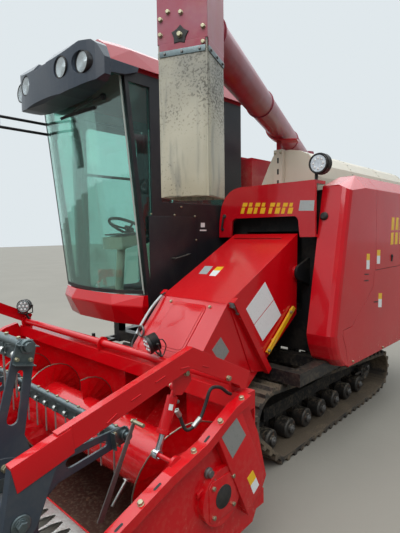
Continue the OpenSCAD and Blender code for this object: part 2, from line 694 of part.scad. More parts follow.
module thresher_body() color(grey) placed() {
    difference() {
        block([6, body_front_y, deck_top], [body_left, body_rear_y, body_top_z]);
        // Inlet behind the feeder house
        block([220, body_front_y - 1, 1010], [750, body_front_y + 300, 1640]);
        // Recess behind the left upper door
        block([body_left - 85, cover_seam_y + 61, 1440], [body_left + 1, body_rear_y - 100, 1900]);
    }
    // Cheeks and pins on which the feeder house turns
    for (x = [feeder_right - 36, feeder_left + 16])
        across(x, x + 20)
            polygon(concat(arc([lift_pivot_y, lift_pivot_z], 60, 90, 270, 12),
                           [[body_front_y, lift_pivot_z - 110], [body_front_y, lift_pivot_z + 110]]));
    shaft(feeder_right - 36, feeder_right - fit_gap, lift_pivot_y, lift_pivot_z, lift_pivot_d);
    shaft(feeder_left + fit_gap, feeder_left + 36, lift_pivot_y, lift_pivot_z, lift_pivot_d);
    // Rail that carries the upper door's hinge
    block([rail_x, cover_seam_y, body_top_z - 1], [rail_x + 40, body_rear_y, bevel_top.y - panel_t - fit_gap]);
}

module thresher_hood() color(cream) placed()
    lengthwise(body_front_y + 70, body_rear_y)
        polygon([for (p = [[325, 0], [849, 0], [849, 110], [830, 210], [770, 290], [690, 330], [600, 350],
                           [500, 350], [440, 320], [400, 250], [325, 100]]) [p.x, body_top_z + p.y]]);

module front_cover() color(red) placed() {
    difference() {
        lengthwise(arch_y, arch_y + panel_t)
            polygon([[8, 1597], [12, 1740], [40, 1868], [78, 1936], [128, 1981], [185, 2006], [250, 2015],
                     [front_cover_left, 2015], [front_cover_left, 1597]]);
        lengthwise(arch_y - 1, arch_y + panel_t + 1)
            polygon([[140, 1500], [145, 1612], [152, 1722], [163, arch_z - 16], [186, arch_z],
                     [764, arch_z], [783, arch_z - 12], [793, 1722], [806, 1600], [812, 1500]]);
    }
    block([200, arch_y + panel_t - 1, 1990], [front_cover_left, body_front_y + 25, 2015]);
    block([8, arch_y + panel_t - 1, 1597], [28, body_front_y, 1690]);
    block([860, arch_y + panel_t - 1, 1597], [front_cover_left, body_front_y, 1617]);
    block([200, body_front_y + 5, body_top_z], [480, body_front_y + 25, 1991]);
}

cover_seam_y = 1315;
cover_seam_z = 1316;
// Front line of the left front cover as (y, z) points, from its top down
cover_line = [[812, 1975], [700, 1460], [580, 900], [600, 820], [650, 720], [726, 657]];
// Lower edge of its side, from the foot up to the corner where the three covers meet
cover_seam = [[819, 642], [777, 781], [722, 885], [734, 926], [875, 932], [1011, 1012], [1131, 1094],
              [1262, 1183], [1279, 1245], [1291, cover_seam_z]];
cover_corner_r = 56;
cover_slope_y = 1085;
corner_turns = [0, 30, 60, 90];
// The cover's top falls away outside the bevel by this much at a place x
function top_drop(x) = 0.5 * max(0, x - bevel_top.x);

// A level section of the cover's front and corner: outer points, or the inner ones at a depth t, as (x, y) points
function cover_section(t) =
    concat([[front_cover_left + 1, t]],
           [for (a = corner_turns) [cover_x - cover_corner_r, cover_corner_r] + (cover_corner_r - t) * [sin(a), -cos(a)]],
           [[cover_x - t, cover_corner_r + 4]]);

// The front and corner as a bent plate lofted down the front line
module cover_front() {
    outer = cover_section(0);
    inner = cover_section(panel_t);
    m = len(outer);
    n = 2 * m;
    section = concat(outer, [for (i = [m - 1 : -1 : 0]) inner[i]]);
    last = len(cover_line) - 1;
    points = [for (i = [0 : last], q = section)
              let (drop = i == 0 ? top_drop(q.x) : 0)
              [q.x, cover_line[i].x + q.y - 0.22 * drop, cover_line[i].y - drop]];
    quads = concat([for (i = [0 : last - 1], k = [0 : n - 1])
                    let (a = n * i + k, b = n * i + (k + 1) % n) [a, b, b + n, a + n]],
                   [for (k = [0 : m - 2]) [n - 1 - k, n - 2 - k, k + 1, k]],
                   [for (k = [0 : m - 2]) [for (v = [k, k + 1, n - 2 - k, n - 1 - k]) n * last + v]]);
    polyhedron(points, [for (q = quads) each [[q[0], q[1], q[2]], [q[0], q[2], q[3]]]]);
}

module left_front_cover() color(red) placed() {
    line = cover_line;
    back = cover_corner_r + 1;
    across(cover_x - panel_t, cover_x)
        polygon(concat([[cover_seam_y, bevel_z], [cover_slope_y, bevel_z], [line[0].x + back - 9, 1930]],
                       [for (i = [1 : len(line) - 1]) line[i] + [back, 0]], cover_seam, [[cover_seam_y, cover_seam_z]]));
    difference() {
        cover_front();
        block([front_cover_left, 500, 600], [deck_half_w + 4, 900, deck_top + 6]);
    }
    // Bevel over the side panel, and the slope in front of it
    lengthwise(cover_slope_y, cover_seam_y)
        polygon(sheet([[cover_x, bevel_z - 30], [cover_x, bevel_z], bevel_top, [rail_x + 5, bevel_top.y]], panel_t));
    across(front_cover_left + 1, bevel_top.x)
        polygon(sheet([line[0], [cover_slope_y + 2, bevel_top.y]], -panel_t));
    cap_t = 12;
    fall = (bevel_top.y - bevel_z) / (cover_x - bevel_top.x);
    hull() for (q = concat([[bevel_top.x, 0]], [for (i = [1 : 4]) cover_section(0)[i]])) {
        foot = line[0] + [q.y - 0.22 * top_drop(q.x), -top_drop(q.x)];
        top = [cover_slope_y + 2, bevel_top.y - fall * (q.x - bevel_top.x)];
        across(q.x - 1, q.x) polygon([foot, top, top - [0, cap_t], foot + [3, -cap_t]]);
    }
    block([body_left, body_front_y + 40, 1300], [cover_x - panel_t + 1, body_front_y + 100, 1340]);
}

module left_upper_door() color(red) placed()
    lengthwise(cover_seam_y + 4, body_rear_y - 10)
        polygon(sheet([[cover_x, cover_seam_z + 4], [cover_x, bevel_z], bevel_top, [rail_x + 4, bevel_top.y]], panel_t));

module left_lower_cover() color(red) placed() {
    across(cover_x - panel_t, cover_x)
        polygon([[823, 634], [body_rear_y - 120, 612], [body_rear_y - 10, 730], [body_rear_y - 10, cover_seam_z],
                 [1295, cover_seam_z], [1283, 1244], [1266, 1180], [1134, 1090], [1013, 1008], [877, 928],
                 [738, 922], [727, 887], [782, 782]]);
    for (y = [1000, 1900, body_rear_y - 300]) block([body_left, y, 760], [cover_x - panel_t + 1, y + 40, 800]);
}

module straw_hood() color(red) placed() {
    wall = 20;
    rear = machine_rear;
    difference() {
        across(hood_gap, body_left)
            polygon([[body_rear_y, 900], [body_rear_y, body_top_z], [body_rear_y + 120, body_top_z - 60],
                     [rear, 1400], [rear, 1000], [rear - wall, 900]]);
        across(hood_gap + wall, body_left - wall)
            polygon([[body_rear_y - 1, 899], [body_rear_y - 1, body_top_z - wall], [body_rear_y + 110, body_top_z - 60 - wall],
                     [rear - wall, 1390], [rear - wall, 899]]);
    }
}

module grain_tank() color(red) placed() {
    rear = tank_rear_y;
    difference() {
        union() {
            block([cab_right, tank_front_y, tank_floor_z], [-2, rear, tank_top_z]);
            block([cab_right, lid_rear_y, tank_top_z], [-2, rear, tank_top_z + 12]);
        }
        difference() {
            block([cab_right + tank_t, tank_front_y + tank_t, tank_floor_z + tank_t], [-2 - tank_t, rear - tank_t, tank_top_z]);
            lengthwise(tank_front_y, rear) polygon([[-600, tank_floor_z], [0, tank_floor_z], [0, tank_floor_z + 420]]);
        }
    }
    for (x = [cab_right, -120], y = [tank_front_y, rear - 80])
        block([x, y, deck_top], [x + 80, y + 80, tank_floor_z]);
}

lid_rear_y = 1990;
module tank_lid() color(red) placed() {
    block([cab_right + 2, tank_front_y + 2, tank_top_z + fit_gap], [-120, lid_rear_y - 5, tank_top_z + 20]);
    for (y = [tank_front_y + 100, lid_rear_y - 200])
        rod([cab_right - 4, y, tank_top_z + 12], [cab_right - 4, y + 100, tank_top_z + 12], 20);
}

module engine_block() color(dark_grey) placed()
    block([-960, 1350, deck_top], [-320, 2050, 1300]);

module engine_screen() color(black) placed()
    difference() {
        block([cab_right - 20, tank_front_y + 10, 760], [cab_right - fit_gap, tank_rear_y - 10, 1420]);
        for (i = [0 : 6])
            block([cab_right - 21, tank_front_y + 90, 800 + i * 80], [cab_right + 1, tank_rear_y - 90, 850 + i * 80]);
    }

module exhaust_pipe() color(dark_grey) placed() {
    rod([-640, 1110, 1300], [-640, 1110, 2200], 90);
    rod([-640, 1110, 2200], [-640, 1160, 2330], 70);
    block([-680, 1120, 1290], [-600, 1350, 1300]);
}

module fuel_tank() color(black) placed()
    across(-1020, -500) rounded([tank_rear_y - 290, deck_top], [tank_rear_y - 30, tank_floor_z - 150], 50);

module work_lamps() color(black) placed() {
    // Four lamps in the visor, each set a little behind its face
    for (x = lamp_xs) translate([x, visor_y(x) + 14, lamp_z]) rotate([-90, 0, 0]) {
        cylinder(d = lamp_d, h = 34);
        cylinder(d = 90, h = lamp_seat_y - visor_y(x) - 14 - fit_gap);
    }
    // Lamp on the front cover
    translate([front_cover_left + 25, 690, 2126]) rotate([-90, 0, 0]) cylinder(d = 140, h = 70);
    rod([front_cover_left - 12, 735, 2015], [front_cover_left - 12, 735, 2080], 24);
}

// Header and feeder

flange_top = [-137, 1195];
flange_foot = [232, 640];
module feeder_house() color(red) placed() {
    top = [[702, 1623], flange_top];
    foot = [[690, 1010], [232, 720]];
    difference() {
        across(feeder_right, feeder_left) polygon([top[0], top[1], foot[1], foot[0]]);
        across(feeder_right + feeder_t, feeder_left - feeder_t)
            polygon([[760, 1660 - feeder_t], top[0] - [0, feeder_t + 2], top[1] - [20, feeder_t + 14],
                     foot[1] + [-30, 6], foot[1] + [8, feeder_t + 4], foot[0] + [0, feeder_t + 2], [760, 1000 + feeder_t]]);
    }
    // Rings that turn on the pivot pins
    for (x = [feeder_right - 10, feeder_left]) difference() {
        shaft(x, x + 10, lift_pivot_y, lift_pivot_z, lift_pivot_d + 50);
        shaft(x - 1, x + 11, lift_pivot_y, lift_pivot_z, lift_pivot_d + 2 * fit_gap);
    }
    // Flange arms on both sides
    for (x = [feeder_left, feeder_right - 42])
        across(x, x + 42) polygon(sheet([flange_top + [14, 10], flange_foot + [20, 20]], 46));
}

module feeder_throat() color(red) placed() {
    back = -497;
    difference() {
        across(feeder_right, feeder_left)
            polygon([flange_top - [1, 1], [-403, 900], [-487, 770], [-487, 215], [231, 719]]);
        across(feeder_right + feeder_t, feeder_left - feeder_t)
            polygon([flange_top - [0, 20], [-396, 884], [-473, 765], [-520, 765], [-520, 236], [-480, 236], [238, 737], [238, 760]]);
    }
    // Ears and pin for the eye of the lift cylinder's rod
    for (x = [cylinder_x - ear_gap - ear_t, cylinder_x + ear_gap])
        across(x, x + ear_t)
            polygon(concat([[-80, 500], [80, 613]], arc(lift_eye, 30, 330, 210, 8)));
    shaft(cylinder_x - ear_gap - ear_t - 4, cylinder_x + ear_gap + ear_t + 4, lift_eye.x, lift_eye.y, lift_pin_d);
}

module safety_lock() color(yellow) placed() {
    across(feeder_left + 8, feeder_left + 24) polygon([[262, 806], [290, 786], [639, 1062], [611, 1082]]);
    for (p = [[360, 868], [600, 1052]]) shaft(feeder_left, feeder_left + 9, p.x, p.y, 24);
}

back_y = auger_y + trough_r;
module header_frame() color(red) placed() {
    trough = concat([[floor_front_y, auger_z - trough_r], [auger_y - 60, auger_z - trough_r]],
                    arc([auger_y, auger_z], trough_r, 270, 360, 9), [[back_y, header_back_z]]);
    difference() {
        union() {
            across(header_right, header_left) polygon(sheet(trough, -trough_t));
            block([header_right, back_y - 80, header_back_z - 90], [header_left, back_y, header_back_z]);
            block([header_right, back_y + trough_t, 240], [feeder_right - 2, back_y + 80, 320]);
            block([feeder_left + 2, back_y + trough_t, 240], [header_left, back_y + 80, 320]);
        }
        block([feeder_right + feeder_t, back_y - 65, 300], [feeder_left - feeder_t, back_y + 90, 760]);
    }
    // Lip from the trough down to the throat's floor
    across(feeder_right + feeder_t, feeder_left - feeder_t)
        polygon([[back_y - 55, 300], [back_y + 7, 248], [back_y + 7, 240], [back_y - 57, 292]]);
    // Brackets that carry the reel arms' pivot tube
    for (x = [header_mid - arm_x + arm_w / 2 + 6, header_mid - 8, header_mid + arm_x - arm_w / 2 - 22])
        difference() {
            across(x, x + 16) polygon(concat([[back_y, header_back_z], [back_y - 90, header_back_z]],
                                             arc([arm_pivot_y, arm_pivot_z], 42, 180, 0, 8)));
            shaft(x - 1, x + 17, arm_pivot_y, arm_pivot_z, 50 + 2 * fit_gap);
        }
}

// Outline of a header end plate, from its rear foot round the top rail to the divider's point
plate_outline = [[-413, 395], [-532, 205], [floor_front_y, 165], [-1560, 120], [-1900, 200], [-1880, 250], [-1480, 540],
                 [-1373, 607], [-1103, 706], [-901, 757], [-698, 857], [-593, 880], [-480, 640]];
module header_end() color(red) placed() {
    difference() {
        union() {
            across(0, end_plate_t) polygon(plate_outline);
            across(0, 56) polygon(sheet([[-593, 880], [-698, 857], [-901, 757], [-1103, 706], [-1373, 607], [-1480, 540]], 42));
            across(0, 44) polygon(arc([auger_y, auger_z], 130, 0, 345, 23));
            across(0, end_plate_t) polygon(arc(reel_foot, 30, 0, 345, 23));
        }
        shaft(-1, 60, auger_y, auger_z, 60 + 2 * fit_gap);
    }
    // Pin for the foot of the reel cylinder
    shaft(reel_ram_x - header_left - eye_w / 2 - 4, 0, reel_foot.x, reel_foot.y, reel_pin_d);
}
module header_left_end() translate([header_left, 0, 0]) header_end();
module header_right_end() translate([header_right, 0, 0]) mirror([1, 0, 0]) header_end();

module cutter_bar() color(dark_grey) placed() {
    count = floor((header_left - header_right - 20) / guard_pitch);
    start = header_mid - count * guard_pitch / 2;
    bar_z = auger_z - trough_r - trough_t - 12;
    upright(bar_z, bar_z + 12)
        polygon(concat([[start, floor_front_y + 20]],
                       [for (i = [0 : count - 1], e = [[0.3, 0], [0.44, -guard_len], [0.56, -guard_len], [0.7, 0]])
                        [start + (i + e.x) * guard_pitch, floor_front_y - 40 + e.y]],
                       [[start + count * guard_pitch, floor_front_y + 20]]));
    // Knife sections
    upright(bar_z + 12, bar_z + 15)
        polygon(concat([[start + 10, floor_front_y - 12]],
                       [for (i = [0 : count - 1], e = [[0.1, -20], [0.45, -90], [0.55, -90], [0.9, -20]])
                        [start + (i + e.x) * guard_pitch, floor_front_y - 20 + e.y]],
                       [[start + count * guard_pitch - 10, floor_front_y - 12]]));
}

// A helical flight round the auger from x0 to x1, hand +1 or -1
module flight(x0, x1, hand) {
    pitch = 420;
    inner = drum_d / 2 + fit_gap;
    outer = flight_d / 2;
    t = 6;
    steps = ceil((x1 - x0) / pitch * 20);
    // Four corners of the flight's section at each step
    corners = [[inner, 0], [outer, 0], [outer, t], [inner, t]];
    points = [for (i = [0 : steps], c = corners)
              let (a = hand * 360 * (x1 - x0) / pitch * i / steps)
              [x0 + (x1 - x0 - t) * i / steps + c.y, c.x * cos(a), c.x * sin(a)]];
    sides = [for (i = [0 : steps - 1], k = [0 : 3])
             let (a = 4 * i + k, b = 4 * i + (k + 1) % 4) [a, b, b + 4, a + 4]];
    split = [for (s = sides) each [[s[0], s[1], s[2]], [s[0], s[2], s[3]]]];
    ends = [[3, 2, 1], [3, 1, 0], [4 * steps, 4 * steps + 1, 4 * steps + 2], [4 * steps, 4 * steps + 2, 4 * steps + 3]];
    faces = concat(split, ends);
    translate([0, auger_y, auger_z])
        polyhedron(points, hand > 0 ? faces : [for (f = faces) [f[2], f[1], f[0]]]);
}

module header_auger() color(red) placed() {
    shaft(header_right + 8, header_left - 8, auger_y, auger_z, drum_d);
    for (x = [header_right - 40, header_left - 8]) shaft(x, x + 48, auger_y, auger_z, 60);
    flight(header_right + 12, feeder_right, 1);
    flight(feeder_left, header_left - 12, -1);
    for (i = [0 : 5]) {
        a = 212 + i * 75;
        reach = a % 360 > 90 && a % 360 < 300 ? 285 : 200;
        rod([feeder_right + 60 + i * 96, auger_y + 140 * cos(a), auger_z + 140 * sin(a)],
            [feeder_right + 60 + i * 96, auger_y + reach * cos(a), auger_z + reach * sin(a)], 16);
    }
}

module reel_arms() color(red) placed() {
    line = [[arm_pivot_y, arm_pivot_z], [-902, 1106], [-1673, 916]];
    both_ends() difference() {
        union() {
            across(arm_x - arm_w / 2, arm_x + arm_w / 2)
                polygon(sheet([[arm_pivot_y + 24, arm_pivot_z - 28], [-902, 1066], [-1500, 918]], -84));
            across(arm_x - arm_w / 2, arm_x + arm_w / 2)
                polygon(concat(arc([reel_y, reel_z], 60, 200, 340, 8), [[reel_y + 170, 1000], [reel_y - 20, 950]]));
        }
        shaft(arm_x - arm_w, arm_x + arm_w, reel_y, reel_z, 60 + 2 * fit_gap);
    }
    shaft(header_mid - arm_x - arm_w / 2, header_mid + arm_x + arm_w / 2, arm_pivot_y, arm_pivot_z, 50);
    // Brackets and pins for the reel cylinders
    both_ends() {
        across(arm_x - arm_w / 2 - 12, arm_x - arm_w / 2)
            polygon([[-870, 1000], [-890, 1070], [-980, 1050], [-970, 960], [-930, 948]]);
        shaft(reel_ram_x - header_mid - eye_w / 2 - 4, arm_x - arm_w / 2, reel_pin.x, reel_pin.y, reel_pin_d);
    }
}

// One arm of a reel spider and the hollow on to the next arm, in the plate's own plane
function spider_arm(a) = let (
    step = 360 / bar_count,
    arm = [[spider_root, -52], [reel_r - 40, -38], [reel_r + bar_eye, -bar_eye - 2],
           [reel_r + bar_eye, bar_eye + 2], [reel_r - 40, 38], [spider_root, 52]],
    hollow = [for (t = [-14, -7, 0, 7, 14]) [0.81 * spider_root + 0.1 * t * t, step / 2 + t]]
) concat([for (p = arm) [p.x * cos(a) - p.y * sin(a), p.x * sin(a) + p.y * cos(a)]],
         [for (h = hollow) h.x * [cos(a + h.y), sin(a + h.y)]]);

module reel_rotor() color(dark_grey) placed() {
    translate([header_mid, reel_y, reel_z]) {
        rotate([0, 90, 0]) cylinder(d = 60, h = 2 * (arm_x + arm_w / 2), center = true);
        for (x = [-spider_x, 0, spider_x]) {
            difference() {
                across(x - 5, x + 5) polygon([for (a = bar_angles) each spider_arm(a)]);
                for (a = bar_angles) rotate([a, 0, 0]) {
                    shaft(x - 6, x + 6, reel_r, 0, 34 + 2 * fit_gap);
                    across(x - 6, x + 6) polygon(concat(arc([spider_root + 55, 0], 20, 90, 270, 6),
                                                        arc([reel_r - 95, 0], 13, -90, 90, 6)));
                }
            }
            shaft(x - 9, x + 9, 0, 0, 2 * spider_hub_r);
        }
    }
}

module tine_bar(i) color(zinc) placed() {
    a = bar_phase + (i - 1) * 360 / bar_count;
    y = reel_y + reel_r * cos(a);
    z = reel_z + reel_r * sin(a);
    shaft(header_mid - bar_half, header_mid + bar_half, y, z, 34);
    count = floor(2 * (bar_half - 60) / tine_pitch);
    for (k = [0 : count - 1]) {
        x = header_mid + (k - (count - 1) / 2) * tine_pitch + 26;
        translate([x, y - tine_lean, z - tine_len]) cylinder(d = tine_d, h = tine_len, $fn = 6);
    }
}
module tine_bar_1() tine_bar(1);
module tine_bar_2() tine_bar(2);
module tine_bar_3() tine_bar(3);
module tine_bar_4() tine_bar(4);
module tine_bar_5() tine_bar(5);

// Cylinders: each runs between two pins given as (y, z)

reel_pin = [-930, 975];
reel_foot = [-1040, 715];
lift_foot = [620, 520];
lift_eye = [0, 500];

function point3(x, p) = [x, p.x, p.y];
function towards(a, b, d) = a + unit(b - a) * d;

// A barrel from its eye's pin towards the rod's pin, open where the rod comes out
module barrel(x, from, to, d, reach, pin_d, eye_w) {
    rod_d = d * 0.55;
    difference() {
        union() {
            rod(point3(x, towards(from, to, 2 * pin_d)), point3(x, towards(from, to, reach)), d);
            rod(point3(x, from), point3(x, towards(from, to, 2 * pin_d + 1)), pin_d * 1.3);
            shaft(x - eye_w / 2, x + eye_w / 2, from.x, from.y, 2 * pin_d);
        }
        shaft(x - d, x + d, from.x, from.y, pin_d + 2 * fit_gap);
        rod(point3(x, towards(from, to, 2 * pin_d + 8)), point3(x, towards(from, to, reach + 5)), rod_d + 2 * fit_gap);
    }
}

// A rod whose eye is wider than its pin by the play of the opened linkage
module ram(x, from, to, d, start, pin_d, play, eye_w) {
    difference() {
        union() {
            rod(point3(x, towards(from, to, start)), point3(x, towards(from, to, norm(to - from) - pin_d / 2)), d * 0.55);
            shaft(x - eye_w / 2, x + eye_w / 2, to.x, to.y, 2 * pin_d);
        }
        shaft(x - d, x + d, to.x, to.y, pin_d + 2 * play);
    }
}

lift_eye_play = 8.4;
reel_eye_play = 3.4;
reel_ram_x = header_left - arm_inset - arm_w / 2 - 42;
module reel_cylinder(x) color(red) placed() barrel(x, reel_pin, reel_foot, 50, 180, reel_pin_d, eye_w);
module reel_rod(x) color(zinc) placed() ram(x, reel_pin, reel_foot, 50, 50, reel_pin_d, reel_eye_play, eye_w);
module reel_cylinder_left() reel_cylinder(reel_ram_x);
module reel_rod_left() reel_rod(reel_ram_x);
module reel_cylinder_right() reel_cylinder(2 * header_mid - reel_ram_x);
module reel_rod_right() reel_rod(2 * header_mid - reel_ram_x);
module lift_cylinder() color(black) placed() barrel(cylinder_x, lift_foot, lift_eye, 80, 420, lift_pin_d, lift_eye_w);
module lift_rod() color(zinc) placed() ram(cylinder_x, lift_foot, lift_eye, 80, 110, lift_pin_d, lift_eye_play, lift_eye_w);

// Unloading tube

module unloading_riser() color(red) placed() {
    translate([riser_x, riser_y, deck_top]) cylinder(d = tube_d, h = tube_z - 110 - deck_top);
    translate([riser_x, riser_y, tube_z - 125]) cylinder(d = tube_d + 70, h = 15);
    block([riser_x - 60, tank_rear_y, 1500], [riser_x + 60, riser_y - tube_d / 2 + 20, 1560]);
}

module unloading_tube() color(dark_red) placed()
    translate([riser_x, riser_y, 0]) rotate([0, 0, tube_turn]) {
        difference() {
            union() {
                translate([0, 0, tube_z - 109]) cylinder(d = tube_d + 70, h = 15);
                translate([0, 0, tube_z - 94]) cylinder(d = tube_d + 20, h = 210);
                translate([0, -40, tube_z]) rotate([90, 0, 0]) cylinder(d = tube_d, h = tube_reach - spout_w / 2 - 40);
                block([-spout_w / 2, -tube_reach - spout_w / 2, 2345], [spout_w / 2, -tube_reach + spout_w / 2, 2600]);
                block([-spout_w / 2 + 2, -tube_reach - spout_w / 2 + 2, chute_z], [spout_w / 2 - 2, -tube_reach + spout_w / 2 - 2, 2345]);
            }
            block([-spout_w / 2 + 8, -tube_reach - spout_w / 2 + 8, chute_z - 1], [spout_w / 2 - 8, -tube_reach + spout_w / 2 - 8, 2590]);
        }
    }

module tube_rest() color(cream) placed() {
    post_y = 900;
    post = [riser_x + (riser_y - post_y + 20) * tan(tube_turn), post_y];
    block([post.x - 40, post.y - 40, body_top_z], [post.x + 40, post.y - 0.3, 2307]);
    seat_r = tube_d / 2 + 2 * fit_gap;
    low = tube_z - seat_r;
    block([post.x - 20, post.y - 30, 2307], [post.x + 20, post.y - 10, low - 10]);
    // Saddle under the tube, open on the side to which the tube swings out
    translate([post.x, post.y - 20, 0]) rotate([0, 0, tube_turn]) lengthwise(-55, 55)
        polygon(concat(arc([0, tube_z], seat_r, 188, 270, 12), [[30, low], [50, low - 8], [150, low - 14], [150, low - 26],
                       [0, low - 18]], arc([0, tube_z], seat_r + 16, 268, 188, 8)));
}

chassis_frame();
drive_axle();
drive_sprockets();
rear_idlers();
ground_rollers();
track_frames();
track_left();
track_right();
rear_hitch();
cab_floor();
cab_frame();
windscreen();
side_glass();
cab_roof();
roof_visor();
cab_bumper();
operator_seat();
control_console();
cab_door();
door_glass();
mirrors();
boarding_steps();
thresher_body();
thresher_hood();
front_cover();
left_front_cover();
left_upper_door();
left_lower_cover();
straw_hood();
grain_tank();
tank_lid();
engine_block();
engine_screen();
exhaust_pipe();
fuel_tank();
work_lamps();
feeder_house();
feeder_throat();
safety_lock();
header_frame();
header_left_end();
header_right_end();
cutter_bar();
header_auger();
reel_arms();
reel_rotor();
tine_bar_1();
tine_bar_2();
tine_bar_3();
tine_bar_4();
tine_bar_5();
reel_cylinder_left();
reel_rod_left();
reel_cylinder_right();
reel_rod_right();
lift_cylinder();
lift_rod();
unloading_riser();
unloading_tube();
tube_rest();
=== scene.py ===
"""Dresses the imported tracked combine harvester: finishes, fittings, floor, light and camera.

Sizes in the classes are millimetres of the drawing frame: x is the machine's left, measured from the
middle of the tracks, -y is forward and z is up from the ground.
"""

from __future__ import annotations

import functools
import json
import logging
import math
import random
from dataclasses import dataclass
from enum import Enum
from typing import Callable, Iterable, Sequence, Union

import bmesh
import bpy
from mathutils import Matrix, Vector
from mathutils.bvhtree import BVHTree

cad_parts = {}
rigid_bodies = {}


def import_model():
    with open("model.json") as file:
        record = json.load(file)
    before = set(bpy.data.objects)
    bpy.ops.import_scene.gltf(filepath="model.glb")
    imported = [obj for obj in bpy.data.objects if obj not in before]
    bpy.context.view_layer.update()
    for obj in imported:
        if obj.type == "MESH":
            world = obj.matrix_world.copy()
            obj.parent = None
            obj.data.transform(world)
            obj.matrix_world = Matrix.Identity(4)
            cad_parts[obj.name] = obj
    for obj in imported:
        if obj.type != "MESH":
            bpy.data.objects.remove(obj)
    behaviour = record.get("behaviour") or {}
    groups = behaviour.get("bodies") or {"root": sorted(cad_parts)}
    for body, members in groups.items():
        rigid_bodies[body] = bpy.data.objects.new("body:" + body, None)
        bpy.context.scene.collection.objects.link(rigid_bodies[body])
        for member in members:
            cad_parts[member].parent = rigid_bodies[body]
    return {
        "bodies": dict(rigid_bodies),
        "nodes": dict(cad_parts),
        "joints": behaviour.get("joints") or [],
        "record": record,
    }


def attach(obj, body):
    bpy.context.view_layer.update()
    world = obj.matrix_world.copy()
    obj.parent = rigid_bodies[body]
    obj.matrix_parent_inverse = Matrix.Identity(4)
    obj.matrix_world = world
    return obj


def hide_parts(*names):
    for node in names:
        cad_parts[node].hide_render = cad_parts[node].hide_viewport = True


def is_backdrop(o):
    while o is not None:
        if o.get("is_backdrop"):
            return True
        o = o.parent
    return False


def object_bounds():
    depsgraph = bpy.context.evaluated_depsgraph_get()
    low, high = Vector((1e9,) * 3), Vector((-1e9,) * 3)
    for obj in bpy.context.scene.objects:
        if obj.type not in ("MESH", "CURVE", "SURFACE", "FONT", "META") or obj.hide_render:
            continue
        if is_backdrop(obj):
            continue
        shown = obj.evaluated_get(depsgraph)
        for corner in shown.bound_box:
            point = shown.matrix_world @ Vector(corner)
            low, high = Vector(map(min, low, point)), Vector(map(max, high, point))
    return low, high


LOG = logging.getLogger("harvester")

Rgb = tuple[float, float, float]
Point = Sequence[float]

MM = 0.001
DATUM_Y = -514.956


def srgb(red: int, green: int, blue: int) -> Rgb:
    """A colour given in the usual 0 to 255 steps, as linear light."""
    return tuple(
        ((c / 255 + 0.055) / 1.055) ** 2.4 if c > 10 else c / 255 / 12.92 for c in (red, green, blue)
    )


def shade_of(colour: Rgb, share: float) -> Rgb:
    """The same colour, darker or lighter by a factor."""
    return tuple(min(1.0, c * share) for c in colour)


def place(point: Point) -> Vector:
    """Turns a point of the drawing frame into the model's metres."""
    return Vector((point[0], point[1] + DATUM_Y, point[2])) * MM


def drawn(point: Vector) -> Vector:
    """Turns a point of the model into the drawing frame."""
    return Vector((point.x, point.y, point.z)) / MM - Vector((0, DATUM_Y, 0))


def around(count: int, start: float = 0.0) -> list[float]:
    """The angles of equal steps round a circle, in radians."""
    return [2 * math.pi * k / count + start for k in range(count)]


class Signal:
    """A link in a shader graph, on which Python's operators add Math nodes."""

    def __init__(self, graph: "Graph", socket: bpy.types.NodeSocket) -> None:
        """Keeps the socket and the graph that it is in."""
        self.graph = graph
        self.socket = socket

    def _math(self, operation: str, first: "Value", second: "Value" = 0.0) -> "Signal":
        """Adds one Math node."""
        return self.graph.add("ShaderNodeMath", {"operation": operation}, {0: first, 1: second})

    def __add__(self, other: "Value") -> "Signal":
        """self + other."""
        return self._math("ADD", self, other)

    def __sub__(self, other: "Value") -> "Signal":
        """self - other."""
        return self._math("SUBTRACT", self, other)

    def __rsub__(self, other: "Value") -> "Signal":
        """other - self."""
        return self._math("SUBTRACT", other, self)

    def __mul__(self, other: "Value") -> "Signal":
        """self * other."""
        return self._math("MULTIPLY", self, other)

    __radd__ = __add__
    __rmul__ = __mul__

    def least(self, other: "Value") -> "Signal":
        """The smaller of the two."""
        return self._math("MINIMUM", self, other)

    def most(self, other: "Value") -> "Signal":
        """The larger of the two."""
        return self._math("MAXIMUM", self, other)

    def ease(self, low: float, high: float) -> "Signal":
        """0 at low and 1 at high, with a smooth step between them.

        Args:
            low: The value that becomes 0.
            high: The value that becomes 1; it may be below low.

        Returns:
            The stepped signal.
        """
        lowest, highest, ends = (low, high, (0.0, 1.0)) if low < high else (high, low, (1.0, 0.0))
        return self.graph.add(
            "ShaderNodeMapRange",
            {"interpolation_type": "SMOOTHSTEP"},
            {"Value": self, "From Min": lowest, "From Max": highest, "To Min": ends[0], "To Max": ends[1]},
        )


Value = Union[Signal, float, Rgb, Sequence[float]]


